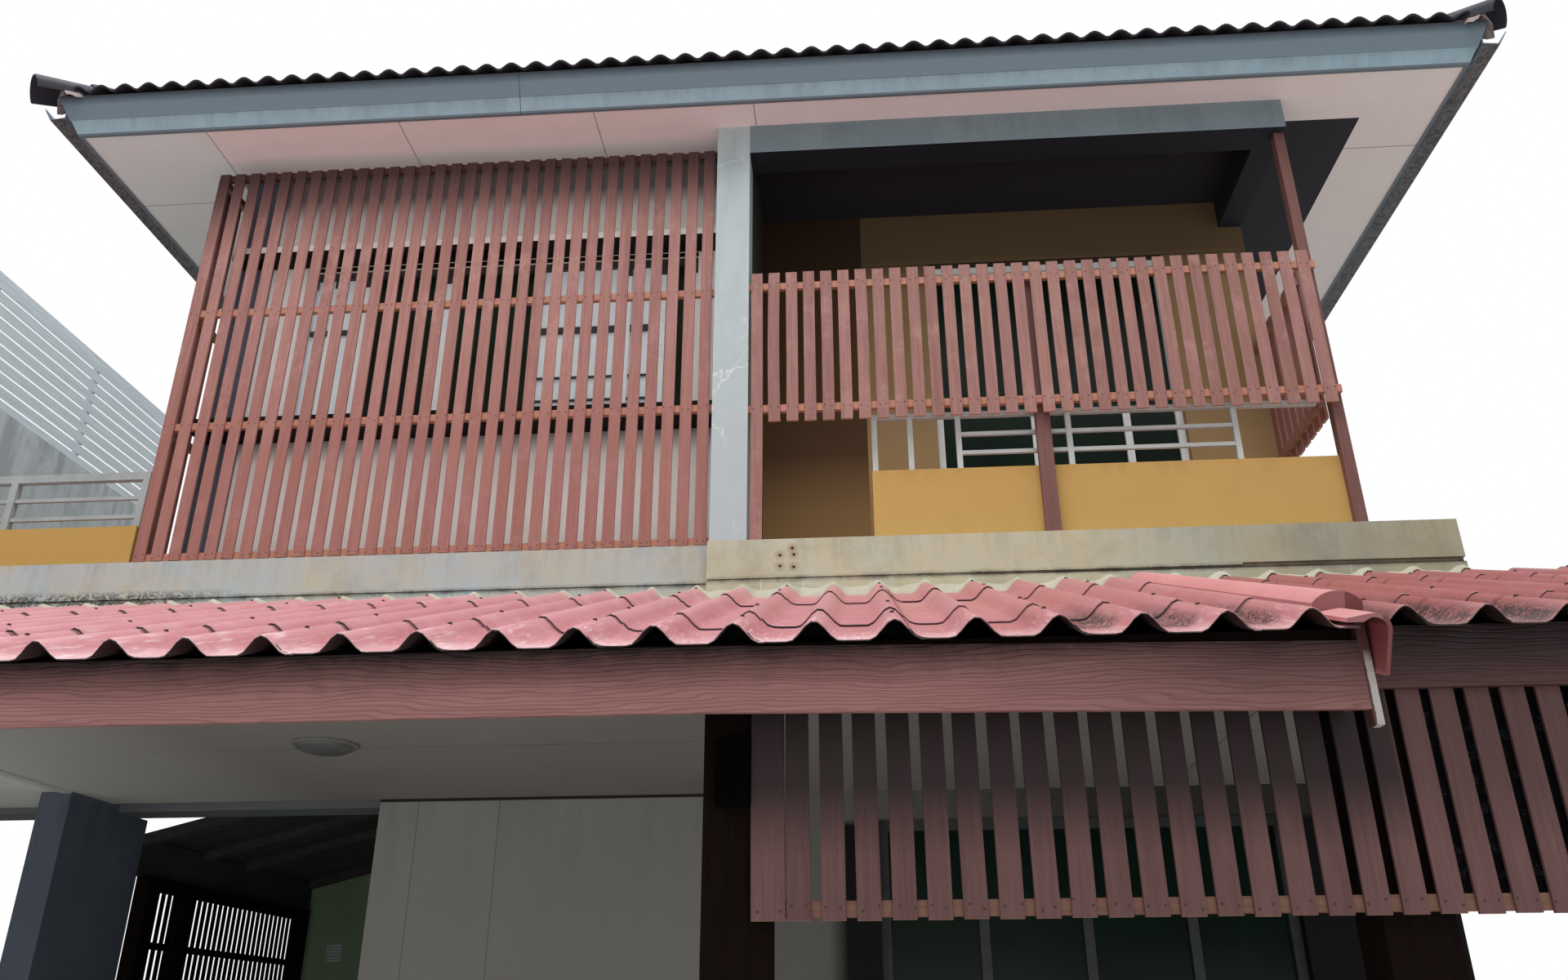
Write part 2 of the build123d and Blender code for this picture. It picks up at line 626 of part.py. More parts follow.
def rectangle_at(level, margin):
    x0, x1, y0, y1 = inside_of_slope(level, margin)
    return Pos((x0 + x1) / 2, (y0 + y1) / 2, level) * Rectangle(x1 - x0, y1 - y0)


def leaning_frustum(z0, z1, margin):
    """Solid inside the leaning fascia, between two heights."""
    return loft([rectangle_at(z0, margin), rectangle_at(z1, margin)])


def eave_fascia():
    """Two boards round the eaves, square to the rafters. The upper one stands a little forward."""
    lower = leaning_frustum(FASCIA_BOTTOM, FASCIA_STEP, 0)
    lower -= leaning_frustum(FASCIA_BOTTOM, FASCIA_STEP, FASCIA_THICKNESS)
    upper = leaning_frustum(FASCIA_STEP, FASCIA_TOP, -UPPER_BOARD_STEP)
    upper -= leaning_frustum(FASCIA_STEP, FASCIA_TOP, FASCIA_THICKNESS - UPPER_BOARD_STEP)
    return lower + upper


def dark_ceiling(z0, z1):
    """Area of the dark ceiling: over the balcony, and on along the right side of the house."""
    front = LOWER_FRONT + COLUMN_DEPTH
    over_balcony = block(COLUMN_RIGHT, DARK_CEILING_RIGHT, front, BALCONY_DEPTH, z0, z1)
    return over_balcony + block(BODY_RIGHT, DARK_CEILING_RIGHT, BALCONY_DEPTH, BODY_BACK, z0, z1)


def soffit():
    """Boards under the eaves, carried across the rooms, with the balcony's dark ceiling left out."""
    boards = leaning_frustum(SOFFIT, SOFFIT + BOARD, FASCIA_THICKNESS)
    return boards - dark_ceiling(SOFFIT - 1, SOFFIT + BOARD + 1)


def balcony_ceiling():
    return dark_ceiling(SOFFIT, SOFFIT + BOARD)


TILE_OUT = (FASCIA_TOP - FASCIA_BOTTOM) * math.tan(ROOF_PITCH) + UPPER_BOARD_STEP + TILE_OVERHANG
TILE_X = SOFFIT_HALF_WIDTH + TILE_OUT
TILE_Y0 = SOFFIT_FRONT - TILE_OUT
TILE_Y1 = SOFFIT_BACK + TILE_OUT
TILE_RUN = (TILE_Y1 - TILE_Y0) / 2
TILE_MIDDLE = (TILE_Y0 + TILE_Y1) / 2
TILE_UNDER = FASCIA_TOP - TILE_OVERHANG * math.tan(ROOF_PITCH)
TILE_RISE = (TILE_BED + TILE_WAVE) / math.cos(ROOF_PITCH)


def up_slope(pitch, y, z):
    """A section plane across a slope: x along the eave, y square to the slope, z down the slope."""
    return Plane(origin=(0, y, z), x_dir=(1, 0, 0), z_dir=(0, -math.cos(pitch), -math.sin(pitch)))


def tile_slope(half_eave):
    """One slope of wave-profile tiles whose eave runs along x at y = 0, mitred at its two hips."""
    ridge = half_eave - TILE_RUN
    line = [(half_eave, 0), (-half_eave, 0), (-half_eave, TILE_BED)]
    waves = int(half_eave / TILE_PITCH)
    for k in range(-waves, waves):
        for u, v in TILE_SHAPE:
            line.append(((k + u) * TILE_PITCH, TILE_BED + v * TILE_WAVE))
    line += [(waves * TILE_PITCH, TILE_BED), (half_eave, TILE_BED)]
    down = (TILE_BED + TILE_WAVE) * math.tan(ROOF_PITCH)
    length = TILE_RUN / math.cos(ROOF_PITCH)
    section = up_slope(ROOF_PITCH, 0, 0).offset(-down) * make_face(Polyline(*line, close=True))
    layer = extrude(section, amount=length, dir=(0, math.cos(ROOF_PITCH), math.sin(ROOF_PITCH)))
    corners = [(-half_eave, 0), (half_eave, 0), (ridge, TILE_RUN)]
    if ridge > 0:
        corners.append((-ridge, TILE_RUN))
    return layer & extrude(make_face(Polyline(*corners, close=True)), length)


def main_roof():
    """Hip roof of wave-profile concrete tiles: four slopes, hollow below."""
    long_slope = tile_slope(TILE_X)
    short_slope = tile_slope(TILE_RUN)
    return (Pos(0, TILE_Y0, TILE_UNDER) * long_slope,
            Pos(0, TILE_Y1, TILE_UNDER) * Rot(0, 0, 180) * long_slope,
            Pos(TILE_X, TILE_MIDDLE, TILE_UNDER) * Rot(0, 0, 90) * short_slope,
            Pos(-TILE_X, TILE_MIDDLE, TILE_UNDER) * Rot(0, 0, -90) * short_slope)


def under_crests():
    """Everything under the crests of the tiles, from which the caps are cut to sit on them."""
    eave = TILE_UNDER + TILE_RISE
    rise = TILE_RUN * math.tan(ROOF_PITCH)
    peak = TILE_X * math.tan(ROOF_PITCH)
    gable = profile_along_x([(TILE_Y0, FASCIA_BOTTOM), (TILE_Y1, FASCIA_BOTTOM), (TILE_Y1, eave),
                             (TILE_MIDDLE, eave + rise), (TILE_Y0, eave)], -TILE_X, TILE_X)
    cross = profile_along_y([(-TILE_X, FASCIA_BOTTOM), (TILE_X, FASCIA_BOTTOM), (TILE_X, eave),
                             (0, eave + peak), (-TILE_X, eave)], TILE_Y0, TILE_Y1)
    return gable & cross


def cap_between(low, high, taper):
    """Cap tiles along a hip or the ridge as one bar of flat-sided round section, tapered at its foot."""
    direction = Vector(*high) - Vector(*low)
    section = Plane(origin=low, z_dir=direction) * RegularPolygon(CAP_RADIUS, CAP_SIDES)
    bar = extrude(section, amount=direction.length, dir=direction.normalized())
    if taper:
        foot = Plane(origin=low, z_dir=-direction) * RegularPolygon(CAP_RADIUS, CAP_SIDES)
        bar += extrude(foot, amount=CAP_END, taper=taper)
    return bar


def roof_caps():
    """Round caps over the ridge and the four hips, seated on the crests of the tiles."""
    eave = TILE_UNDER + TILE_RISE - CAP_SINK
    top = eave + TILE_RUN * math.tan(ROOF_PITCH)
    left = (-TILE_X + TILE_RUN, TILE_MIDDLE, top)
    right = (TILE_X - TILE_RUN, TILE_MIDDLE, top)
    caps = cap_between(left, right, 0)
    for x, end in ((-TILE_X, left), (TILE_X, right)):
        for y in (TILE_Y0, TILE_Y1):
            caps += cap_between((x, y, eave), end, CAP_TAPER)
    return caps - under_crests()


GUTTER_FRONT = SOFFIT_FRONT - 65
GUTTER_BACK = SOFFIT_BACK + 65
GUTTER_SET_OUT = 70
# Out from the hanging line and up from the fascia's step: the outside, then back along the inside
GUTTER_SECTION = ((0, 3), (95, -7), (150, 83), (146, 86), (92, -2), (3, 8), (3, 93), (0, 93))


def side_gutters():
    """Open metal gutters hung on the fascia along both side eaves."""
    gutters = []
    for side in (-1, 1):
        x = side * (SOFFIT_HALF_WIDTH + GUTTER_SET_OUT)
        points = [(x + side * out, FASCIA_STEP + up) for out, up in GUTTER_SECTION]
        gutter = profile_along_y(points, GUTTER_FRONT, GUTTER_BACK)
        gutters.append(gutter - leaning_frustum(FASCIA_BOTTOM, FASCIA_TOP, -UPPER_BOARD_STEP))
    return gutters


# Lean-to roof

COURSE_LIFT = SHEET + 1
WAVE_SHAPE = ((-0.5, 0), (-0.22, 0.64), (0, 1), (0.22, 0.64), (0.5, 0))


def wave_sheet(crests, start, end, x0, x1, lift, eave_y, eave_z):
    """One course of wave-profile sheet: a flat pan and a rounded roll repeated along x."""
    line = [(x0, 0)]
    for crest in crests:
        for u, v in WAVE_SHAPE:
            x = crest + u * WAVE_WIDTH
            if x0 < x < x1:
                line.append((x, v * WAVE_HEIGHT))
    line.append((x1, 0))
    under = [(x, n + lift) for x, n in line]
    over = [(x, n + lift + SHEET) for x, n in reversed(line)]
    face = make_face(Polyline(*(under + over), close=True))
    plane = up_slope(LEAN_TO_SLOPE, eave_y, eave_z)
    return plane.offset(-start) * extrude(face, -(end - start))


def lean_to_course(k, eave_y, eave_z, crests, x0, x1):
    """The k-th course up the slope, lying on the head of the course below it."""
    total = (LEAN_TO_TOP - eave_y) / math.cos(LEAN_TO_SLOPE)
    laps = list(COURSE_LAPS) + [total]
    end = min(total, laps[k + 1] + COURSE_OVERLAP)
    return wave_sheet(crests, laps[k], end, x0, x1, k * COURSE_LIFT, eave_y, eave_z)


def crest_row(first, x0, x1):
    """Places of the crests, a wave apart, whose rolls lie wholly between two sides."""
    low = math.ceil((x0 + WAVE_WIDTH / 2 - first) / WAVE_PITCH)
    high = math.floor((x1 - WAVE_WIDTH / 2 - first) / WAVE_PITCH)
    return [first + k * WAVE_PITCH for k in range(low, high + 1)]


def lean_to_roof():
    """Two roofs of three overlapping courses each. The right one starts further back."""
    right_pan = LEAN_TO_EAVE_HEIGHT + RIGHT_SET_BACK * math.tan(LEAN_TO_SLOPE) - RIGHT_ROOF_DROP
    left_crests = crest_row(FIRST_CREST, PARTY_WALL_FACE, VERGE)
    right_crests = crest_row(RIGHT_FIRST_CREST, RIGHT_START, RIGHT_END)
    courses = []
    for k in range(len(COURSE_LAPS)):
        courses.append(lean_to_course(k, LEAN_TO_EAVE, LEAN_TO_EAVE_HEIGHT, left_crests,
                                      PARTY_WALL_FACE, VERGE))
        courses.append(lean_to_course(k, LEAN_TO_EAVE + RIGHT_SET_BACK, right_pan, right_crests,
                                      RIGHT_START, RIGHT_END))
    return courses


def slope_height(y):
    """Height of the pans' underside at a distance from the front."""
    return LEAN_TO_EAVE_HEIGHT + (y - LEAN_TO_EAVE) * math.tan(LEAN_TO_SLOPE)


def lean_to_fascia():
    """Grained boards under the eaves. The main one falls a little from the middle post on."""
    front, back = LEAN_TO_FASCIA_FRONT, LEAN_TO_FASCIA_FRONT + FASCIA_THICKNESS
    z0, z1 = LEAN_TO_FASCIA_BOTTOM, LEAN_TO_FASCIA_BOTTOM + FASCIA_BOARD
    end = VERGE_END
    main = profile_along_y([(PARTY_WALL_FACE, z0), (MIDDLE_POST_LEFT, z0), (end, z0 - FASCIA_FALL),
                            (end, z1 - FASCIA_FALL), (MIDDLE_POST_LEFT, z1),
                            (PARTY_WALL_FACE, z1)], front, back)
    main += block(VERGE, end, back, LOWER_SCREEN_FRONT, z0, z1 - FASCIA_FALL)
    right = block(end, RIGHT_END, LOWER_SCREEN_FRONT - FASCIA_THICKNESS, LOWER_SCREEN_FRONT,
                  RIGHT_FASCIA_BOTTOM, RIGHT_FASCIA_BOTTOM + RIGHT_FASCIA_BOARD)
    return main, right


def lean_to_rafter(middle, drop):
    """Rafter under one pan, from the eave beam to the front wall of the house."""
    low = CARPORT_CEILING + BOARD
    front, back = LOWER_SCREEN_FRONT, LEAN_TO_TOP
    points = [(front, low), (back, low), (back, slope_height(back) - drop - SEAT),
              (front, slope_height(front) - drop - SEAT)]
    return profile_along_x(points, middle - RAFTER / 2, middle + RAFTER / 2)


def lean_to_frame():
    """Eave beams on square posts, and the rafters that carry the sheets."""
    top = CARPORT_CEILING
    back = LOWER_SCREEN_FRONT + SLAT_THICKNESS + BATTEN_THICKNESS
    main = block(PARTY_WALL_FACE, VERGE, LEAN_TO_FASCIA_FRONT + FASCIA_THICKNESS, LOWER_SCREEN_FRONT,
                 top - EAVE_BEAM, top)
    right = block(VERGE_END, RIGHT_END, back, back + POST, top - RIGHT_BEAM, top)
    for x in (VERGE_END, RIGHT_END - POST):
        right += block(x, x + POST, back, back + POST, 0, top - RIGHT_BEAM)
    left_post = block(PIER_LEFT, PIER_LEFT + POST, back, back + POST, 0, top)
    middle_post = block(MIDDLE_POST_LEFT, MIDDLE_POST_LEFT + POST, back, back + POST, 0, top)
    frame = [main, right, left_post, middle_post]
    for k in RAFTER_PANS:
        frame.append(lean_to_rafter(FIRST_CREST + (k + 0.5) * WAVE_PITCH, 0))
    for k in RIGHT_RAFTER_PANS:
        frame.append(lean_to_rafter(RIGHT_FIRST_CREST + (k + 0.5) * WAVE_PITCH, RIGHT_ROOF_DROP))
    return frame


CAP_SEAT = len(COURSE_LAPS) * COURSE_LIFT - 1 + SEAT
CAP_LEFT = VERGE - 46
CAP_WIDTH = 150
CAP_CROWN = 98
CAP_WALL = 62
HOOK_RIGHT = VERGE + 78
HOOK_SHEET = 12
HOOK_CREST = (VERGE_END, CAP_SEAT + 24)
HOOK_SHOULDER = (16, 10)
HOOK_BEND = -5
HOOK_LEAN = 14
HOOK_DROP = 130
HOOK_FRONT = 20
MORTAR_BOTTOM = LEAN_TO_FASCIA_BOTTOM - 75
MORTAR_BACK = -2400
MORTAR_FOOT = 40
MORTAR_WIDTH = 28


def verge_hook():
    """Barge tile at the foot of the step: it rises off the last pan and turns down over the end."""
    right = HOOK_RIGHT
    inner_right = right - HOOK_SHEET
    x, top = HOOK_CREST
    under = top - HOOK_SHEET
    over, down = HOOK_SHOULDER
    section = Polyline((CAP_LEFT, CAP_SEAT), (CAP_LEFT, CAP_SEAT + HOOK_SHEET), (x, top))
    section += ThreePointArc((x, top), (right - over, top - down), (right, HOOK_BEND))
    section += Polyline((right, HOOK_BEND), (right - HOOK_LEAN, -HOOK_DROP),
                        (inner_right - HOOK_LEAN, -HOOK_DROP), (inner_right, HOOK_BEND))
    section += ThreePointArc((inner_right, HOOK_BEND), (inner_right - down, under - down), (x, under))
    section += Polyline((x, under), (VERGE, CAP_SEAT), (CAP_LEFT, CAP_SEAT))
    plane = up_slope(LEAN_TO_SLOPE, LEAN_TO_EAVE, LEAN_TO_EAVE_HEIGHT).offset(HOOK_FRONT)
    hook = plane * extrude(make_face(section), -VERGE_HOOK - HOOK_FRONT)
    behind = LOWER_SCREEN_FRONT - FASCIA_THICKNESS - 2
    return hook - block(VERGE_END, right + 1, behind, behind + VERGE_HOOK, 0, EDGE_BEAM_BOTTOM)


def verge_mortar():
    """Mortar run down between the end of the main fascia and the barge tile."""
    front = LEAN_TO_FASCIA_FRONT
    top = CAP_SEAT - 1
    points = [(front, MORTAR_BOTTOM), (front + MORTAR_FOOT, MORTAR_BOTTOM),
              (MORTAR_BACK, LEAN_TO_EAVE_HEIGHT), (MORTAR_BACK, slope_height(MORTAR_BACK) + top),
              (front, slope_height(front) + top)]
    return profile_along_x(points, VERGE_END, VERGE_END + MORTAR_WIDTH)


def lean_to_verge_cap():
    """Arched cap over the step between the two roofs, with its barge tile and mortar at the foot."""
    length = (LEAN_TO_TOP - LEAN_TO_EAVE) / math.cos(LEAN_TO_SLOPE)
    x0, x1 = CAP_LEFT, CAP_LEFT + CAP_WIDTH
    section = Polyline((x1, CAP_WALL), (x1, CAP_SEAT), (x0, CAP_SEAT), (x0, CAP_WALL))
    section += ThreePointArc((x0, CAP_WALL), ((x0 + x1) / 2, CAP_CROWN), (x1, CAP_WALL))
    plane = up_slope(LEAN_TO_SLOPE, LEAN_TO_EAVE, LEAN_TO_EAVE_HEIGHT).offset(-VERGE_HOOK)
    cap = plane * extrude(make_face(section), -(length - VERGE_HOOK))
    return cap, verge_hook(), verge_mortar()


# Ceilings and lamps

TRIM = (50, 8)
LIGHT_AT = (-1580, -1290)
LIGHT_RING = (131, 12)
LIGHT_BOWL = (112, 36)
POST_LAMP = (100, 60, 198)
POST_LAMP_LEFT = MIDDLE_POST_LEFT + 43
POST_LAMP_BOTTOM = CARPORT_CEILING - 448


def carport_ceiling():
    """Flat boards under the lean-to roof, with a trim strip over the joint in line with the pier."""
    z0, z1 = CARPORT_CEILING, CARPORT_CEILING + BOARD
    left = block(PARTY_WALL_FACE, PIER_LEFT, LOWER_SCREEN_FRONT, 0, z0, z1)
    main = block(PIER_LEFT, RIGHT_END, LOWER_SCREEN_FRONT, LOWER_FRONT, z0, z1)
    x = PIER_LEFT + PIER - TRIM[0]
    return left + main + block(x, x + TRIM[0], LOWER_SCREEN_FRONT, PIER_FRONT, z0 - TRIM[1], z0)


def ceiling_light():
    """Round lamp on the carport ceiling: a shallow bowl, cut from a ball, in a low ring."""
    ring, ring_height = LIGHT_RING
    bowl, depth = LIGHT_BOWL
    ball = (bowl ** 2 + depth ** 2) / (2 * depth)
    lamp = Pos(0, 0, -ring_height - depth + ball) * Sphere(ball)
    lamp &= Pos(0, 0, -ring_height - depth / 2) * Box(2 * bowl, 2 * bowl, depth)
    lamp += Pos(0, 0, -ring_height / 2) * Cylinder(ring, ring_height)
    return Pos(*LIGHT_AT, CARPORT_CEILING) * lamp


def post_lamp():
    """Square-cornered lamp on the front of the brown post."""
    width, depth, height = POST_LAMP
    left = POST_LAMP_LEFT
    face = LOWER_SCREEN_FRONT + SLAT_THICKNESS + BATTEN_THICKNESS
    return block(left, left + width, face - depth, face, POST_LAMP_BOTTOM, POST_LAMP_BOTTOM + height)


save("ground_slab", ground_slab())
save("lower_front_wall", lower_front_wall())
save("lower_side_walls", lower_side_wall(LOWER_LEFT), lower_side_wall(BODY_RIGHT - WALL),
     passage_end_wall())
save("lower_back_wall", lower_back_wall())
save("lower_door_frame", sliding_frame(*LOWER_FRAME))
save("corner_piers", *corner_piers())
save("passage_screen", *passage_screen())
save("passage_roof", *passage_roof())
save("party_wall", party_wall())
save("party_wall_fence", party_wall_fence())
save("edge_beam_left", edge_beam_left())
save("edge_beam_right", edge_beam_right())
save("upper_floors", *upper_floors())
save("terrace_parapet", terrace_parapet())
save("terrace_railing", terrace_railing())
save("room_front_wall", room_front_wall())
save("room_window_frame", sliding_frame(*ROOM_FRAME))
save("upper_side_walls", *upper_side_walls())
save("upper_back_wall", upper_back_wall())
save("front_column", front_column())
save("balcony_beam", balcony_beam())
save("balcony_side_wall", balcony_side_wall())
save("balcony_back_wall", balcony_back_wall())
save("balcony_door_frame", sliding_frame(*BALCONY_FRAME))
save("glass_panes", *glass_panes())
save("balcony_parapet", balcony_parapet())
save("balcony_railing", balcony_railing())
save("balcony_posts", *balcony_posts())
save("room_slat_screen", *room_slat_screen())
save("balcony_slat_screen", *balcony_slat_screen())
save("side_screens", outer_side_screen(), balcony_side_screen())
save("lower_slat_screen", *lower_slat_screen())
save("soffit", soffit())
save("balcony_ceiling", balcony_ceiling())
save("eave_fascia", eave_fascia())
save("main_roof", *main_roof())
save("roof_caps", roof_caps())
save("side_gutters", *side_gutters())
save("lean_to_roof", *lean_to_roof())
save("lean_to_verge_cap", *lean_to_verge_cap())
save("lean_to_fascia", *lean_to_fascia())
save("lean_to_frame", *lean_to_frame())
save("carport_ceiling", carport_ceiling())
save("ceiling_light", ceiling_light())
save("post_lamp", post_lamp())
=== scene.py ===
"""Looks of a two-storey semi-detached house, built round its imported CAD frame."""

import math

import bmesh
import bpy
import numpy as np
from mathutils import Matrix, Vector


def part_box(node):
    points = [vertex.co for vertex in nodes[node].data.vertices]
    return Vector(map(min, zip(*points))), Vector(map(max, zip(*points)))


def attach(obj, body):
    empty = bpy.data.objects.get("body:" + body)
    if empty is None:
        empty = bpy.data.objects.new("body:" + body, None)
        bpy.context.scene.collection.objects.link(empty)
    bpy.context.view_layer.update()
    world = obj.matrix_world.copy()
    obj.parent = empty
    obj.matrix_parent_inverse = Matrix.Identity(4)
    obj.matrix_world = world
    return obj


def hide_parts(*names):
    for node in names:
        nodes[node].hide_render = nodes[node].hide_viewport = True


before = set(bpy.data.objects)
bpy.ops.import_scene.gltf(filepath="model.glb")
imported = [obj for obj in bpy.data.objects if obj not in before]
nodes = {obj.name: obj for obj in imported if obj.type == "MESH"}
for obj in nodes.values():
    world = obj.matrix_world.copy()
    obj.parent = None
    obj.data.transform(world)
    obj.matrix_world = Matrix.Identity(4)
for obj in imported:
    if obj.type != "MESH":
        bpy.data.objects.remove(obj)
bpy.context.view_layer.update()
scene = bpy.context.scene
scene.view_settings.view_transform = "Standard"


# Camera
# It stands on the ground before the gate, 1.55 m up, and looks up at the front wall.
CAMERA_AT = (0.5719, -5.9807, 1.5515)
CAMERA_YAW = -0.0661
CAMERA_PITCH = 0.4229
CAMERA_ROLL = -0.0051
LENS_MM = 27.795

ahead = Vector((math.sin(CAMERA_YAW) * math.cos(CAMERA_PITCH),
                math.cos(CAMERA_YAW) * math.cos(CAMERA_PITCH), math.sin(CAMERA_PITCH)))
level_right = Vector((math.cos(CAMERA_YAW), -math.sin(CAMERA_YAW), 0))
level_up = level_right.cross(ahead)
right = math.cos(CAMERA_ROLL) * level_right + math.sin(CAMERA_ROLL) * level_up
up = -math.sin(CAMERA_ROLL) * level_right + math.cos(CAMERA_ROLL) * level_up
camera = bpy.data.objects.new("camera", bpy.data.cameras.new("camera"))
camera.data.lens = LENS_MM
camera.data.sensor_width = 36
turned_to = Matrix((right, up, -ahead)).transposed().to_4x4()
camera.matrix_world = Matrix.Translation(CAMERA_AT) @ turned_to
scene.collection.objects.link(camera)
scene.camera = camera


# Light, backdrop and floor
# An overcast sky, paler overhead than at its rim, a large soft lamp high before the house, a low
# one that stands for light thrown back by the ground, two weak ones behind the screens for the
# wall, window and doors there, and a plain pale floor.
SKY_RIM = 0.34
SKY_OVERHEAD = 0.95
SKY_TINT = (0.93, 0.97, 1, 1)
FLOOR_COLOUR = (0.70, 0.685, 0.66, 1)
# Place, aim, watts, width and depth
LAMPS = {"high_lamp": ((-1.5, -4.8, 17.0), (0, 0, 3.5), 1900, 13, 6),
         "low_lamp": ((-1.0, -9.5, 0.6), (0, 0, 6.0), 120, 14, 3),
         "screen_lamp": ((-1.70, 0.075, 5.20), (-1.70, 1, 5.20), 9, 3.0, 2.3),
         "balcony_lamp": ((1.60, 0.150, 5.05), (1.60, 2, 5.05), 3.6, 3.0, 0.9)}


def plug(tree, socket, value):
    """Joins an output, or the one a mask stands for, to an input, or gives the input a value."""
    value = getattr(value, "socket", value)
    if isinstance(value, bpy.types.NodeSocket):
        tree.links.new(value, socket)
    else:
        socket.default_value = value


def add(tree, kind, values=(), **options):
    """Adds a node, sets its options, and plugs its inputs, given by number or name."""
    node = tree.nodes.new("ShaderNode" + kind)
    for key, option in options.items():
        setattr(node, key, option)
    for index, value in dict(values).items():
        plug(tree, node.inputs[index], value)
    return node


world = bpy.data.worlds.new("sky")
scene.world = world
world.use_nodes = True
sky = world.node_tree
sky.nodes.clear()
ray = add(sky, "LightPath")
seen = ray.outputs["Is Camera Ray"]
for kind in ("Is Glossy Ray", "Is Transmission Ray"):
    seen = add(sky, "Math", {0: seen, 1: ray.outputs[kind]}, operation="MAXIMUM").outputs[0]
sky_height = add(sky, "SeparateXYZ", {0: add(sky, "TexCoord").outputs["Generated"]}).outputs[2]
sky_strength = add(sky, "MapRange", {0: sky_height, 3: SKY_RIM, 4: SKY_OVERHEAD}).outputs[0]
sky_lit = add(sky, "Background", {"Color": SKY_TINT, "Strength": sky_strength}).outputs[0]
sky_seen = add(sky, "Background", {"Color": (1, 1, 1, 1)}).outputs[0]
sky_mix = add(sky, "MixShader", {0: seen, 1: sky_lit, 2: sky_seen}).outputs[0]
add(sky, "OutputWorld", {0: sky_mix})

for lamp_name, (place, aim, watts, width, depth) in LAMPS.items():
    lamp = bpy.data.objects.new(lamp_name, bpy.data.lights.new(lamp_name, "AREA"))
    lamp.data.energy = watts
    lamp.data.shape = "RECTANGLE"
    lamp.data.size = width
    lamp.data.size_y = depth
    lamp.data.color = (1, 0.98, 0.95)
    lamp.location = place
    lamp.rotation_mode = "QUATERNION"
    lamp.rotation_quaternion = (Vector(aim) - Vector(place)).to_track_quat("-Z", "Y")
    lamp.visible_camera = False
    lamp.visible_glossy = lamp_name not in ("screen_lamp", "balcony_lamp")
    scene.collection.objects.link(lamp)

floor_mesh = bpy.data.meshes.new("floor")
floor_mesh.from_pydata([(-60, -60, 0), (60, -60, 0), (60, 60, 0), (-60, 60, 0)], [], [(0, 1, 2, 3)])
floor = bpy.data.objects.new("floor", floor_mesh)
scene.collection.objects.link(floor)
floor_material = bpy.data.materials.new("floor")
floor_material.use_nodes = True
floor_paint = floor_material.node_tree.nodes["Principled BSDF"]
floor_paint.inputs["Base Color"].default_value = FLOOR_COLOUR
floor_paint.inputs["Roughness"].default_value = 0.9
floor_mesh.materials.append(floor_material)


# Stained concrete of the edge beams, floors and slab
# Beams cast in place and rendered; rain, lichen, patching and old bolts have marked the render.

def linear(colour):
    """A linear colour from screen values of 0 to 255: each value over 255, to the power 2.2."""
    return tuple((value / 255) ** 2.2 for value in colour) + (1,)


def new_group(name, inputs, outputs):
    """An empty shader node group with named inputs and outputs; returns it with its ends."""
    group = bpy.data.node_groups.new(name, "ShaderNodeTree")
    for label, kind, value in inputs:
        socket = group.interface.new_socket(label, in_out="INPUT", socket_type="NodeSocket" + kind)
        if value is not None:
            socket.default_value = value
    for label, kind in outputs:
        group.interface.new_socket(label, in_out="OUTPUT", socket_type="NodeSocket" + kind)
    return group, group.nodes.new("NodeGroupInput"), group.nodes.new("NodeGroupOutput")


class Mask:
    """A value that changes over a surface: an output in a node tree, with arithmetic on it."""

    def __init__(self, tree, socket):
        self.tree, self.socket = tree, socket

    def step(self, operation, other=0.0):
        """One step of arithmetic on the mask and another mask, output or number."""
        node = add(self.tree, "Math", {0: self, 1: other}, operation=operation)
        return Mask(self.tree, node.outputs[0])

    def __add__(self, other):
        return self.step("ADD", other)

    def __sub__(self, other):
        return self.step("SUBTRACT", other)

    def __rsub__(self, other):
        return self.step("MULTIPLY", -1.0) + other

    def __mul__(self, other):
        return self.step("MULTIPLY", other)

    def __truediv__(self, other):
        return self.step("DIVIDE", other)

    def most(self, other):
        """The greater of two masks."""
        return self.step("MAXIMUM", other)

    def ramp(self, low, high, to_low=0.0, to_high=1.0):
        """Turns low to high into to_low to to_high, held at the ends."""
        node = add(self.tree, "MapRange", {0: self, 1: low, 2: high, 3: to_low, 4: to_high})
        return Mask(self.tree, node.outputs[0])

    def near(self, place, half_width, soft=0.5):
        """1 within half_width of a place along an axis, falling to 0 over a soft edge."""
        gap = (self - place).step("ABSOLUTE")
        return gap.ramp(half_width * (1 - soft), half_width * (1 + soft), 1.0, 0.0)


def noise(tree, position, scale, detail=2.0, roughness=0.5):
    """Blender's noise at a scale, as a mask."""
    node = add(tree, "TexNoise", {0: position, 2: scale, 3: detail, 4: roughness})
    return Mask(tree, node.outputs[0])


def vector_node(tree, operation, first, second):
    """One step of vector arithmetic; a plain second number scales."""
    return add(tree, "VectorMath", {0: first, (3 if operation == "SCALE" else 1): second},
               operation=operation).outputs[0]


def bent(tree, position, wave, amount):
    """A position moved by an amount of a noise's colour."""
    return vector_node(tree, "ADD", position,
                       vector_node(tree, "SCALE", wave.socket.node.outputs[1], amount))


def split(tree, position):
    """The x, y and z of a position, as masks."""
    return [Mask(tree, axis) for axis in add(tree, "SeparateXYZ", {0: position}).outputs]


def blotch_group():
    """Cloudy mottling: wide noise that bends a finer one, so that its patches have ragged edges."""
    group, source, result = new_group("blotches", [("Position", "Vector", None),
                                                   ("Scale", "Float", 1.0)],
                                      [("Mask", "Float"), ("Fine", "Float")])
    at, scale = source.outputs[0], Mask(group, source.outputs[1])
    wide = noise(group, at, scale, 4.0, 0.6)
    fine = noise(group, bent(group, at, wide, 0.35), scale * 5.0, 6.0, 0.7)
    plug(group, result.inputs[0], (wide * 0.6 + fine * 0.4).ramp(0.38, 0.62))
    plug(group, result.inputs[1], fine)
    return group


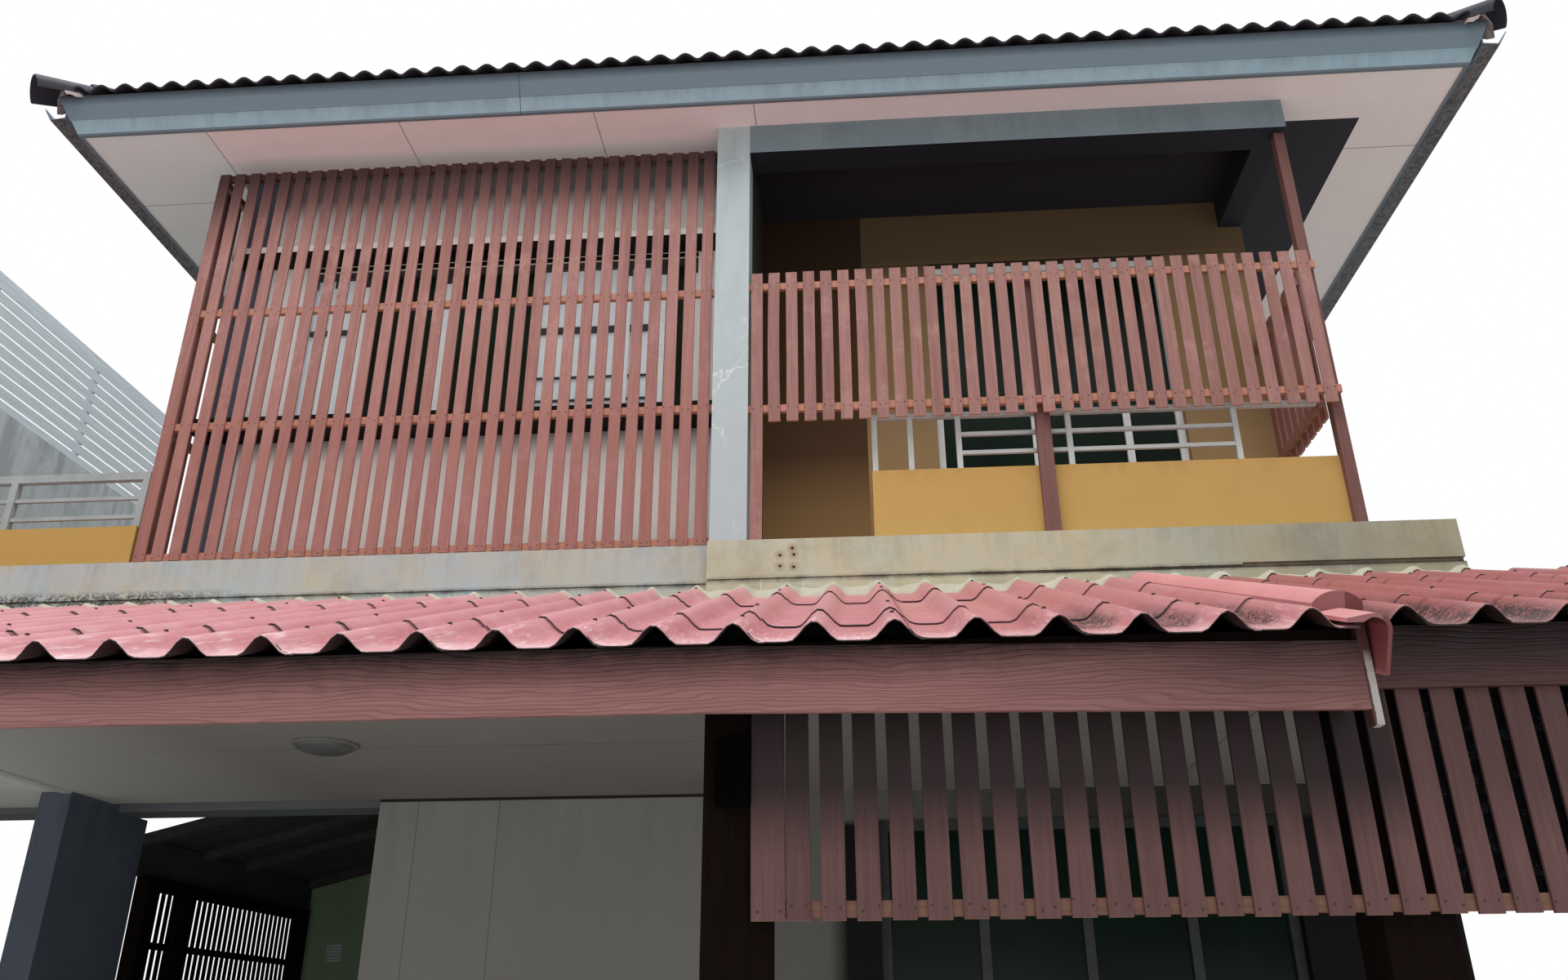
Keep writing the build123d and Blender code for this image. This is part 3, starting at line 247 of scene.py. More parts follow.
def drip_group():
    """Rain streaks: noise drawn out along Z and finer across, strongest just under a height."""
    group, source, result = new_group("drips", [("Position", "Vector", None), ("Top", "Float", 0.0),
                                                ("Length", "Float", 0.3), ("Across", "Float", 18.0)],
                                      [("Mask", "Float")])
    at, top, length, fineness = source.outputs[:4]
    x, y, z = split(group, at)
    drawn = add(group, "CombineXYZ", {0: x * fineness + noise(group, at, 6.0) * 0.8, 1: y * 8.0,
                                      2: z * 1.2}).outputs[0]
    depth = top - z
    near_top = Mask(group, add(group, "Clamp", {0: 1.0 - depth / length}).outputs[0])
    streak = noise(group, drawn, 1.0, 3.0, 0.65).ramp(0.46, 0.64)
    plug(group, result.inputs[0], streak * near_top * depth.ramp(-0.002, 0.0))
    return group


def crack_group():
    """Hairlines where the cells of a bent Voronoi pattern meet, kept only where noise is high."""
    group, source, result = new_group("hairlines", [("Position", "Vector", None),
                                                    ("Scale", "Float", 1.3)],
                                      [("Mask", "Float")])
    at, scale = source.outputs[:2]
    moved = bent(group, at, noise(group, at, 3.0, 5.0), 0.5)
    cell = add(group, "TexVoronoi", {0: moved, "Scale": scale}, feature="DISTANCE_TO_EDGE")
    line = Mask(group, cell.outputs[0]).ramp(0.0, 0.007, 1.0, 0.0)
    plug(group, result.inputs[0], line * noise(group, at, 1.7).ramp(0.50, 0.58))
    return group


blotches = blotch_group()
drips = drip_group()
hairlines = crack_group()


class Coat:
    """A finish laid coat by coat: a material, its shader, its Object coordinates and its colour.

    A colour is a node's output, or screen values of red, green and blue from 0 to 255."""

    def __init__(self, name, colour, roughness=0.8, specular=0.3):
        self.material = bpy.data.materials.new(name)
        self.material.use_nodes = True
        self.tree = self.material.node_tree
        self.shader = self.tree.nodes["Principled BSDF"]
        self.shader.inputs["Roughness"].default_value = roughness
        self.shader.inputs["Specular IOR Level"].default_value = specular
        self.at = add(self.tree, "TexCoord").outputs["Object"]
        self.colour = colour

    def axes(self):
        """The x, y and z of the surface."""
        return split(self.tree, self.at)

    def facing(self, axis):
        """How far the surface faces along an axis, from -1 to 1."""
        return split(self.tree, add(self.tree, "NewGeometry").outputs["Normal"])[axis]

    def carried(self, name):
        """A value that the mesh carries at its points."""
        return Mask(self.tree, add(self.tree, "Attribute", attribute_name=name).outputs["Fac"])

    def effect(self, group, at=None, **values):
        """The masks of a shared effect, with its own values, at a place or at the surface."""
        node = self.tree.nodes.new("ShaderNodeGroup")
        node.node_tree = group
        plug(self.tree, node.inputs[0], self.at if at is None else at)
        for label, value in values.items():
            node.inputs[label].default_value = value
        return [Mask(self.tree, output) for output in node.outputs]

    def drawn(self, *axes):
        """A position put together from stretched axes."""
        return add(self.tree, "CombineXYZ", dict(enumerate(axes))).outputs[0]

    def mix(self, mask, low, high):
        """A colour between two, by a mask."""
        low, high = (linear(tone) if isinstance(tone, tuple) else tone for tone in (low, high))
        return add(self.tree, "Mix", {0: mask, 6: low, 7: high}, data_type="RGBA").outputs[2]

    def lay(self, *coats):
        """Lays coats of colour, each a (mask, colour) pair, over what is there."""
        for mask, colour in coats:
            self.colour = self.mix(mask, self.colour, colour)

    def done(self, height=None, distance=0.001, strength=0.6):
        """The material, with its colour and its relief joined to the shader."""
        plug(self.tree, self.shader.inputs["Base Color"], self.colour)
        if height is not None:
            relief = add(self.tree, "Bump", {"Height": height, "Strength": strength,
                                             "Distance": distance})
            plug(self.tree, self.shader.inputs["Normal"], relief.outputs[0])
        return self.material


def dress(material, *node_names):
    """Gives CAD nodes one material."""
    for name in node_names:
        mesh = nodes[name].data
        mesh.materials.clear()
        mesh.materials.append(material)


# Old bolt holes on the right-hand beam and pale joints under its groove, by x and z
BOLT_HOLES = ((0.157, 3.847), (0.230, 3.849), (0.157, 3.787), (0.229, 3.780), (0.222, 3.886))
BEAM_JOINTS = (-1.62, 0.058, 0.279, 1.645, 3.05)
GROOVE_LEVEL = 3.716
SHADED_FOOT = 2.66


def concrete(name, pale, warm, dark, top, drip_length=0.35, holes=(), joints=()):
    """Rendered concrete: two tones in clouds, dark streaks below its top, pores, joints, holes."""
    coat = Coat(name, pale, 0.88, 0.25)
    x, y, z = coat.axes()
    cloud = coat.effect(blotches, Scale=1.6)
    grit = noise(coat.tree, coat.at, 220.0, 3.0)
    coat.lay((cloud[0], warm),
             (coat.effect(blotches, Scale=0.55)[1].ramp(0.5, 0.7, 0, 0.35), dark),
             (coat.effect(drips, Top=top, Length=drip_length)[0] * 0.22, dark),
             (grit.ramp(0.3, 0.7, 0.0, 0.2), dark))
    height = grit * 0.5
    if joints:
        lines = 0.0
        for place in joints:
            lines = x.near(place, 0.003).most(lines)
        run = coat.effect(blotches, Scale=7.0)[0]
        torn = coat.effect(blotches, Scale=4.0)[1]
        # Painted shade: the groove's line is painted near black, more strongly to the right.
        groove = z.near(GROOVE_LEVEL - 0.002, 0.007, 0.4) * x.ramp(0.6, 1.6, 0.2, 0.95)
        patch = z.near(GROOVE_LEVEL - 0.005, 0.045, 0.4) * torn.near(0.5, 0.035)
        broken = x.ramp(-3.3, -2.7, 1, 0) * patch
        coat.lay((lines * z.ramp(GROOVE_LEVEL - 0.004, GROOVE_LEVEL, 1, 0), (214, 212, 206)),
                 (z.near(GROOVE_LEVEL, 0.014, 0.9) * run.ramp(0.2, 0.9, 0.2, 0.9), (54, 48, 42)),
                 (groove, (30, 26, 22)),
                 # Painted shade, as of leaves overhead: the beam darkens towards its right end.
                 (x.ramp(1.6, 2.9, 0, 0.4), (100, 96, 84)),
                 (broken, (74, 70, 66)),
                 # Painted shade: below SHADED_FOOT the beam is painted a dark blue-grey.
                 (z.ramp(SHADED_FOOT, SHADED_FOOT + 0.02, 0.9, 0), (92, 95, 100)))
        height = height - broken * 4.0
    if holes:
        flat = coat.drawn(x, 0.0, z)
        hole, rust = 0.0, 0.0
        for place_x, place_z in holes:
            gap = Mask(coat.tree, add(coat.tree, "VectorMath", {0: flat, 1: (place_x, 0, place_z)},
                                      operation="DISTANCE").outputs[1])
            hole = gap.ramp(0.006, 0.009, 1, 0).most(hole)
            rust = gap.ramp(0.008, 0.034, 0.7, 0).most(rust)
        coat.lay((rust * cloud[1].ramp(0.35, 0.6, 0.3, 1), (140, 104, 74)), (hole, (40, 30, 26)))
    return coat.done(height, 0.0015)


beam_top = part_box("edge_beam_right")[1].z
dress(concrete("ledge_concrete", (197, 201, 184), (203, 194, 160), (128, 124, 110), beam_top,
               0.2, BOLT_HOLES, BEAM_JOINTS), "edge_beam_right")
dress(concrete("ledge_concrete_left", (178, 192, 198), (194, 188, 168), (124, 124, 120),
               beam_top, 0.25, (), BEAM_JOINTS), "edge_beam_left")
dress(concrete("cast_concrete", (150, 146, 140), (160, 150, 136), (96, 90, 82), beam_top),
      "ground_slab", "upper_floors")


# Painted render of the walls, the column, the piers and the balcony
# Smooth coats of paint on cement render, rain-marked, with fine pale cracks on the tall column.

# Behind the tall screen: levels of the sill's lower edge, of the edge of the black painted shade on
# the hood and of the hood's top, and the depth at which the painted shade on the hood ends
WINDOW_SILL = 4.84
HOOD_EDGE = 6.082
HOOD_TOP = 6.2
HOOD_BACK = 0.19

# The black painted shade on the wall beside the lower doors: its left edge and its head
DARK_LEFT = 0.42
DARK_HEAD = 2.475
EAVE_LEVEL = 6.7
BALCONY_CORNER = 0.647
X, Y, Z = 0, 1, 2
EVERYWHERE = 9.0


def painted_wall(name, colour, shade, top, drip_length=0.5, joints=(), joint_depth=0.8, cracks=0.0,
                 dirt=0.4, other=None, films=(), panels=(), shaded_back=None, window=False):
    """Paint over render: a cloud of a second tone, streaks below a height, joint lines, hairlines.

    joints are (axis, place) pairs, each a dark line across that axis. other is (axis, place,
    colour): beyond that place the paint has another colour. films are (axis, from, to, amount,
    colour) coats that grow along an axis, and panels (axis, low, high) twice, amount and colour:
    coats on a rectangle; on these walls films and panels are painted light and shade. shaded_back
    is a dark colour painted as shade on all faces but the front. On a wall with the hooded window,
    painted shade blackens the wall below the sill, and the hood's underside and lower edge."""
    coat = Coat(name, colour, 0.75, 0.3)
    axes = coat.axes()
    if other is not None:
        axis, place, beyond = other
        coat.lay((axes[axis].ramp(place - 0.002, place + 0.002), beyond))
    coat.lay((coat.effect(blotches, Scale=0.9)[0].ramp(0, 1, 0, dirt), shade),
             (coat.effect(drips, Top=top, Length=drip_length, Across=11.0)[0] * 0.5, shade))
    height = noise(coat.tree, coat.at, 90.0, 4.0) * 0.4
    for axis, place in joints:
        line = axes[axis].near(place, 0.0025)
        coat.lay((line * joint_depth, (30, 28, 28)))
        height = height - line
    if cracks:
        coat.lay((coat.effect(hairlines, Scale=1.3)[0] * cracks, (228, 233, 236)))
    for axis, start, end, amount, film in films:
        coat.lay((axes[axis].ramp(start, end, 0, amount), film))
    # Painted shade on every face but the front.
    if shaded_back is not None:
        coat.lay((coat.facing(Y).ramp(-0.9, -0.7), shaded_back))
    for (axis, low, high), (second_axis, second_low, second_high), amount, film in panels:
        across = axes[axis].near((low + high) / 2, (high - low) / 2, 0.01)
        upright = axes[second_axis].near((second_low + second_high) / 2,
                                         (second_high - second_low) / 2, 0.01)
        coat.lay((across * amount * upright, film))
    if window:
        # Painted shade: black below the sill, fading down the wall, and on the hood's underside and
        # edge.
        y, z = axes[Y], axes[Z]
        painted_shadow_band = z.ramp(WINDOW_SILL - 0.19, WINDOW_SILL - 0.02, 0, 0.85)
        lip = z.ramp(HOOD_EDGE, HOOD_EDGE + 0.002, 1, 0) * y.ramp(HOOD_BACK, HOOD_BACK + 0.01, 1, 0)
        underside = coat.facing(Z).ramp(-0.9, -0.8, 1, 0) * y.near(0.235, 0.09, 0.02)
        coat.lay((painted_shadow_band * z.ramp(WINDOW_SILL, WINDOW_SILL + 0.01, 1, 0), (30, 26, 24)),
                 (underside.most(lip) * z.ramp(HOOD_TOP, HOOD_TOP + 0.002, 1, 0), (10, 10, 10)))
    return coat.done(height, 0.001)


dress(painted_wall("blue_render", (189, 201, 203), (160, 172, 174), EAVE_LEVEL, 2.5, cracks=0.75),
      "front_column")
# Painted shade: every face of the beam but the front is dark.
dress(painted_wall("beam_render", (132, 146, 152), (108, 122, 128), EAVE_LEVEL, 0.4,
                   shaded_back=(34, 37, 44)), "balcony_beam")
# Painted shade: the top of the wall behind the tall screen darkens under the soffit.
dress(painted_wall("grey_render", (226, 222, 218), (200, 196, 192), EAVE_LEVEL, 1.0, window=True,
                   films=((Z, 6.42, 6.56, 0.8, (64, 52, 52)),)), "room_front_wall")
dress(painted_wall("outer_render", (196, 195, 192), (160, 158, 154), EAVE_LEVEL, 1.2),
      "upper_side_walls", "upper_back_wall", "lower_back_wall")
# Painted shade: left of BALCONY_CORNER the back wall is a darker ochre, and it darkens under the
# ceiling; painted light: it pales towards its foot.
dress(painted_wall("ochre_render", (84, 58, 38), (120, 92, 60), -1.0, 1.2,
                   ((X, BALCONY_CORNER), (Z, 6.31)), dirt=0.12,
                   other=(X, BALCONY_CORNER, (166, 136, 98)),
                   films=((Z, 4.90, 4.35, 0.75, (178, 138, 90)),
                          (Z, 6.05, 6.35, 0.7, (30, 23, 16)))), "balcony_back_wall")
# The balcony's side wall is painted dark as shade.
dress(painted_wall("ochre_shade", (54, 56, 48), (44, 44, 38), 6.6, 1.2), "balcony_side_wall")
dress(painted_wall("ochre_parapet", (196, 158, 93), (176, 138, 79), 4.36, 0.1, dirt=0.3),
      "balcony_parapet")
dress(painted_wall("ochre_terrace", (186, 150, 84), (168, 132, 70), 4.36, 0.1, dirt=0.3),
      "terrace_parapet")
dress(painted_wall("party_render", (204, 212, 216), (112, 118, 120), 5.87, 1.2, dirt=0.25),
      "party_wall")
dress(painted_wall("green_render", (132, 152, 124), (98, 110, 90), 3.5), "lower_side_walls")
ceiling_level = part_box("carport_ceiling")[0].z
painted_shade_brown = (38, 34, 32)
# Painted shade: the wall darkens to the right of the door, a black patch stands for the shade beside
# the lower doors, and a black strip for the shade in the corner under the ceiling.
dress(painted_wall("carport_render", (143, 142, 137), (129, 126, 122), 2.6, 0.6,
                   ((X, -1.625), (X, -1.221), (X, 0.0)), 0.4, dirt=0.3,
                   films=((X, 0.095, 0.105, 0.35, painted_shade_brown), (X, 0.3, 1.7, 0.8, painted_shade_brown)),
                   panels=(((X, DARK_LEFT, EVERYWHERE), (Z, -1.0, DARK_HEAD), 1.0, (12, 12, 12)),
                           ((X, -EVERYWHERE, 0.1), (Z, ceiling_level - 0.007, 3.0), 0.95,
                            (14, 12, 12)))), "lower_front_wall")
dress(painted_wall("pier_paint", (92, 98, 112), (64, 68, 80), 2.6), "corner_piers")


# Painted metal: window frames, railings, gutters and the passage roof
# Folded and extruded metal with a powder coat, dulled by dust that gathers on it; the head of the
# frame behind the tall screen is painted black as shade under the hood.
FRAME_SHADE_LEVEL = 5.915


def coated_metal(name, colour, dust, roughness=0.4, specular=0.5, head=None):
    """Powder coat with cloudy dust, duller than the coat, and black painted shade above head."""
    coat = Coat(name, colour, roughness, specular)
    cloud = coat.effect(blotches, Scale=4.0)
    plug(coat.tree, coat.shader.inputs["Roughness"],
         cloud[1].ramp(0.3, 0.7, roughness, min(roughness + 0.3, 1.0)))
    coat.lay((cloud[0].ramp(0.2, 1, 0, 0.5), dust))
    # Painted shade: black above the head level.
    if head is not None:
        coat.lay((coat.axes()[Z].ramp(head, head + 0.003) * 0.96, (14, 16, 16)))
    return coat.done()


def gutter_coat():
    """Pale blue-grey coat, mottled dark on faces that look down: rust, dirt and painted shade."""
    coat = Coat("gutter_metal", (150, 170, 196), 0.5, 0.5)
    cloud = coat.effect(blotches, Scale=6.0)
    rust_dirt_and_shade = coat.mix(cloud[1].ramp(0.4, 0.6), (58, 56, 60), (112, 108, 108))
    coat.lay((cloud[0], (112, 128, 156)), (coat.facing(Z).ramp(-0.5, -0.2, 1, 0), rust_dirt_and_shade))
    return coat.done(cloud[1], 0.001)


dress(coated_metal("room_window_frame", (226, 229, 232), (196, 198, 198), head=FRAME_SHADE_LEVEL),
      "room_window_frame")
# The balcony door frame's white is paler than the window frame's, as painted light.
dress(coated_metal("balcony_door_frame", (246, 248, 250), (222, 226, 226)), "balcony_door_frame")
dress(coated_metal("shaded_frame", (60, 64, 62), (40, 42, 42)), "lower_door_frame")
dress(coated_metal("railing_steel", (160, 168, 168), (124, 128, 128)), "terrace_railing")
dress(coated_metal("balcony_railing", (204, 211, 209), (166, 172, 170)), "balcony_railing")
dress(gutter_coat(), "side_gutters")
dress(coated_metal("passage_steel", (64, 60, 60), (44, 42, 42), 0.7), "passage_roof")


# Glass of the windows and sliding doors
# Float glass with a dark green film; the window behind the tall screen has two paler panes.
PALE_PANES = ((-2.85, -2.53), (-1.395, -0.60))
PANE_EDGE = 0.005

glass = Coat("dark_glass", (6, 24, 15), 0.30, 0.2)
glass_x, glass_y, glass_z = glass.axes()
pale_pane = 0.0
for left, right in PALE_PANES:
    between = glass_x.ramp(left, left + PANE_EDGE) * glass_x.ramp(right - PANE_EDGE, right, 1, 0)
    pale_pane = between.most(pale_pane)
pale_pane = pale_pane * glass_y.ramp(0.5, 0.6, 1, 0) * glass_z.ramp(3.9, 4.0)
glass_cloud = glass.effect(blotches, Scale=1.2)[0]
glass.lay((glass_cloud, (16, 38, 27)),
          (pale_pane, glass.mix(glass_cloud, (206, 220, 226), (222, 232, 236))))
dress(glass.done(), "glass_panes")


# Timber slat screens with their battens and nails, posts, frame and fence
# Sawn boards with a brown stain, nailed to level battens; cut ends and battens show bare wood.

def grain_group():
    """Wood grain: noise squeezed across the board and stretched along it, with fine pores."""
    group, source, result = new_group("wood_grain", [("Position", "Vector", None),
                                                     ("Along", "Vector", (60, 60, 2.2))],
                                      [("Figure", "Float"), ("Pores", "Float")])
    squeezed = vector_node(group, "MULTIPLY", source.outputs[0], source.outputs[1])
    figure = noise(group, squeezed, 1.0, 4.0, 0.6)
    figure.socket.node.inputs["Distortion"].default_value = 1.2
    plug(group, result.inputs[0], figure)
    pores = noise(group, vector_node(group, "SCALE", squeezed, 4.5), 1.0, 3.0, 0.7)
    plug(group, result.inputs[1], pores)
    return group


wood_grain = grain_group()
UPRIGHT = (60, 60, 2.2)
LEVEL = (2.2, 60, 60)
TONE_SPREAD = 0.35


def stained_board(name, light, dark, along=UPRIGHT, wear=None, ends=None, films=(), fade=None,
                  roughness=0.65, specular=0.35):
    """Stained timber: grain in two tones, a tone of its own for each board, and a fine relief.

    wear is a paler rubbed colour and ends the bare colour of faces that look down. films are
    (from, to, amount, colour): coats that grow from one level to the other, weaker beyond x = fade;
    here painted shade under the eaves, and a darker tone towards the tall screen's slat feet."""
    coat = Coat(name, dark, roughness, specular)
    own = coat.carried("board")
    moved = vector_node(coat.tree, "ADD", coat.at, coat.drawn(own * 37.0, 0.0, own * 11.0))
    figure, pores = coat.effect(wood_grain, moved, Along=along)
    coat.lay((figure.ramp(0.3, 0.7, 0, 1 - TONE_SPREAD) + own * TONE_SPREAD, light),
             (pores.ramp(0.55, 0.75, 0, 0.45), dark))
    if wear is not None:
        coat.lay((coat.effect(blotches, Scale=3.0)[0].ramp(0.6, 1.0, 0, 0.5), wear))
    for start, end, amount, film in films:
        x, y, z = coat.axes()
        grown = z.ramp(start, end, 0, amount)
        coat.lay((grown if fade is None else grown * x.ramp(fade, fade + 0.02, 1, 0.3), film))
    if ends is not None:
        coat.lay((coat.facing(Z).ramp(-0.9, -0.7, 1, 0), ends))
    return coat.done(figure + pores * 0.5, 0.0012)


def mesh_piece(name, points, faces, material, body_slot, smooth=False, sharp=None, **carried):
    """A finished piece from points and faces, riding on the house.

    carried are values that the mesh carries at its points, for its material to read."""
    mesh = bpy.data.meshes.new(name)
    mesh.from_pydata(points.tolist(), [], faces if isinstance(faces, list) else faces.tolist())
    for label, values in carried.items():
        carrier = mesh.attributes.new(label, "FLOAT", "POINT")
        carrier.data.foreach_set("value", values.astype(np.float32))
    mesh.polygons.foreach_set("use_smooth", np.full(len(mesh.polygons), smooth))
    if sharp is not None:
        mesh.set_sharp_from_angle(angle=math.radians(sharp))
    mesh.materials.append(material)
    mesh.update()
    piece = bpy.data.objects.new(name, mesh)
    scene.collection.objects.link(piece)
    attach(piece, "root")
    return piece


def spots(x, y, z):
    """Points from arrays or single values of x, y and z."""
    return np.stack(np.broadcast_arrays(x, y, z), -1).astype(float)


def tube_faces(rings, sides, count=1):
    """Faces of closed tubes: quads between rings of points, and one face over each end."""
    k, onward = np.arange(sides), (np.arange(sides) + 1) % sides
    r = np.arange(rings - 1)[:, None] * sides
    quads = np.stack([r + k, r + onward, r + sides + onward, r + sides + k], -1).reshape(-1, 4)
    first = np.arange(count)[:, None, None] * rings * sides
    faces = []
    for form in (quads, k[None, ::-1], k[None] + (rings - 1) * sides):
        faces += (form[None] + first).reshape(-1, form.shape[1]).tolist()
    return faces


def rounded_section(width, thickness, radius, steps=3):
    """Points round a rectangle with rounded corners: a quarter circle about each one's centre."""
    angle = np.radians(np.arange(4)[:, None] * 90 + np.linspace(0, 90, steps)).ravel()
    corner = np.repeat(np.array([[1, 1], [-1, 1], [-1, -1], [1, -1]]), steps, axis=0)
    centre = corner * np.array([width / 2 - radius, thickness / 2 - radius])
    return centre + radius * np.stack([np.cos(angle), np.sin(angle)], 1)


BOARD_CORNER = 0.002


def boards(name, starts, ends, across, width, thickness, material, body_slot, bow=0.0015, rows=6,
           seed=1):
    """Straight boards: a rounded section carried from each start to its end.

    Point = start + t (end - start) + across * u + out * v, plus a small bow of sin(pi t)."""
    rng = np.random.default_rng(seed)
    count = len(starts)
    along = ends - starts
    across = np.broadcast_to(np.asarray(across, float), (count, 3))
    out = np.cross(along, across)
    out /= np.linalg.norm(out, axis=1)[:, None]
    width = np.broadcast_to(np.asarray(width, float), (count,))
    base = rounded_section(1.0, thickness, BOARD_CORNER)
    u = np.sign(base[:, 0]) * (width[:, None] / 2 - 0.5) + base[:, 0]
    t = np.linspace(0, 1, rows)
    shift = np.sin(math.pi * t)[:, None] * rng.normal(0, bow, (count, 1, 1)) * across[:, None, :]
    line = starts[:, None, :] + t[None, :, None] * along[:, None, :] + shift
    points = (line[:, :, None, :] + u[:, None, :, None] * across[:, None, None, :]
              + base[None, None, :, 1, None] * out[:, None, None, :])
    own = np.repeat(rng.uniform(0, 1, count), rows * len(base))
    return mesh_piece(name, points.reshape(-1, 3), tube_faces(rows, len(base), count), material,
                      body_slot, board=own)


def heads(name, centres, normal, radius, height, material, body_slot, sides=8):
    """Nail or screw heads: low domes of two rings and a crown, standing off one plane."""
    normal = np.asarray(normal, float)
    first = np.cross(normal, (0.3, 0.9, 0.2))
    first /= np.linalg.norm(first)
    second = np.cross(normal, first)
    angle = np.linspace(0, 2 * math.pi, sides, endpoint=False)
    circle = np.cos(angle)[:, None] * first + np.sin(angle)[:, None] * second
    form = np.concatenate([radius * circle - 0.001 * normal,
                           0.8 * radius * circle + height * normal, 1.2 * height * normal[None]])
    points = np.asarray(centres)[:, None, :] + form[None]
    k, onward = np.arange(sides), (np.arange(sides) + 1) % sides
    start = (np.arange(len(points)) * len(form))[:, None, None]
    wall = np.stack([k, onward, onward + sides, k + sides], 1)
    crown = np.stack([k + sides, onward + sides, np.full(sides, 2 * sides)], 1)
    faces = []
    for form in (wall, crown, k[None, ::-1]):
        faces += (form[None] + start).reshape(-1, form.shape[1]).tolist()
    return mesh_piece(name, points.reshape(-1, 3), faces, material, body_slot, smooth=True,
                      sharp=50)


SLAT = 0.066
SLAT_INSET = 0.0045
LOWER_SLAT = 0.070
LOWER_INSET = 0.0025
SLAT_PITCH = 0.1005
SLAT_THICKNESS = 0.014
SLAT_RAGGED = 0.003
BATTEN = 0.045
BATTEN_THICKNESS = 0.030
HANGING_FOOT = 4.645
WIDE_BOARD = 0.1
room_low, room_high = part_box("room_slat_screen")
balcony_low, balcony_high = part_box("balcony_slat_screen")
lower_low, lower_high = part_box("lower_slat_screen")
bare_wood = (176, 138, 108)
eave_shade_tone = (46, 26, 32)
lower_eave_shade_tone = (26, 15, 19)
# Painted shade: the tall screen's slats and battens darken towards their tops under the eave; the
# slats also darken towards their feet.
slat_stain = stained_board("slat_paint", (182, 133, 126), (140, 94, 88), wear=(188, 146, 138),
                           ends=bare_wood,
                           films=((room_high.z - 0.56, room_high.z - 0.06, 0.86, eave_shade_tone),
                                  (5.35, 4.75, 0.5, (150, 98, 88))))
balcony_stain = stained_board("balcony_slat_paint", (168, 124, 116), (130, 90, 84),
                              wear=(176, 138, 128), ends=bare_wood)
batten_stain = stained_board("batten_wood", (202, 146, 122), (164, 106, 86), LEVEL,
                             films=((room_high.z - 0.3, room_high.z - 0.1, 0.9, eave_shade_tone),))
# post_paint: a dark brown stain, made darker still as painted shade.
dark_stain_and_shade = stained_board("post_paint", (32, 23, 19), (22, 15, 13), roughness=0.85, specular=0.08)
brown_stain = stained_board("balcony_post_paint", (134, 94, 88), (106, 72, 68))
# The lower screen's stains are darker copies of the upper ones, as painted shade under the lean-to,
# and darken further towards their tops as painted shade under its fascia.
lower_stain_and_shade = stained_board("lower_slat_paint", (113, 82, 80), (87, 60, 60), ends=bare_wood,
                            films=((2.02, 2.22, 0.9, lower_eave_shade_tone),), fade=2.10)
lower_batten_stain_and_shade = stained_board("lower_batten_wood", (146, 108, 92), (114, 80, 68), LEVEL,
                                   films=((2.05, 2.15, 0.9, lower_eave_shade_tone),), fade=2.10)
nail_steel = coated_metal("nail_steel", (58, 42, 40), (92, 58, 46), 0.6)


def slat_screen(name, node, lefts, widths, front, low, high, batten_levels, stain, batten_finish,
                slot_name, seed):
    """A hanging or standing screen: upright slats of slightly uneven lengths, battens and nails.

    Slat k stands at lefts[k]; two nails, a fifth of its width from its edges, hold it to each
    batten."""
    rng = np.random.default_rng(seed)
    x = lefts + np.asarray(widths) / 2
    y = front + SLAT_THICKNESS / 2
    foot = low + rng.uniform(0, SLAT_RAGGED, len(x))
    top = high - rng.uniform(0, SLAT_RAGGED, len(x))
    slats = boards(name + "_slats", spots(x, y, foot), spots(x, y, top), (1, 0, 0), widths,
                   SLAT_THICKNESS, stain, slot_name, seed=seed)
    z = np.array(batten_levels) + BATTEN / 2
    y = front + SLAT_THICKNESS + BATTEN_THICKNESS / 2
    node_low, node_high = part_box(node)
    battens = boards(name + "_battens", spots(node_low.x, y, z), spots(node_high.x, y, z),
                     (0, 0, 1), BATTEN, BATTEN_THICKNESS, batten_finish, slot_name, bow=0.0005,
                     seed=seed + 1)
    from_middle = np.repeat(np.broadcast_to(widths, x.shape), 2) * np.tile([-0.3, 0.3], len(x))
    places = spots((np.repeat(x, 2) + from_middle)[:, None], front, z).reshape(-1, 3)
    places[:, X] += rng.normal(0, 0.004, len(places))
    places[:, Z] += rng.normal(0, 0.007, len(places))
    nails = heads(name + "_nails", places, (0, -1, 0), 0.0045, 0.0012, nail_steel, slot_name, 6)
    for piece in (slats, battens, nails):
        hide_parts(node)


slat_screen("room", "room_slat_screen", room_low.x + SLAT_INSET + SLAT_PITCH * np.arange(32), SLAT,
            room_low.y, room_low.z, room_high.z, (3.945, 4.756, 5.527, 6.542), slat_stain,
            batten_stain, "slat_paint", 11)
balcony_lefts = np.concatenate([[balcony_low.x + 0.0095], 0.090 + SLAT_PITCH * np.arange(31)])
slat_screen("balcony", "balcony_slat_screen", balcony_lefts + SLAT_INSET, SLAT, balcony_low.y,
            np.where(np.arange(32) == 0, balcony_low.z, HANGING_FOOT), balcony_high.z,
            (4.712, 5.517), balcony_stain, batten_stain, "slat_paint", 13)
lower_count = int((lower_high.x - lower_low.x - WIDE_BOARD) / SLAT_PITCH)
lower_lefts = lower_low.x + WIDE_BOARD + LOWER_INSET + SLAT_PITCH * np.arange(lower_count)
slat_screen("lower", "lower_slat_screen", np.concatenate([[lower_low.x], lower_lefts]),
            np.concatenate([[WIDE_BOARD - 0.0005], np.full(lower_count, LOWER_SLAT)]), lower_low.y,
            lower_low.z, lower_high.z, (1.856, 2.500), lower_stain_and_shade, lower_batten_stain_and_shade,
            "lower_slat_paint", 15)
dress(slat_stain, "side_screens")
dress(brown_stain, "balcony_posts")
dress(dark_stain_and_shade, "lean_to_frame", "passage_screen")
dress(stained_board("fence_board", (232, 242, 250), (196, 206, 212), (60, 2.2, 60)),
      "party_wall_fence")


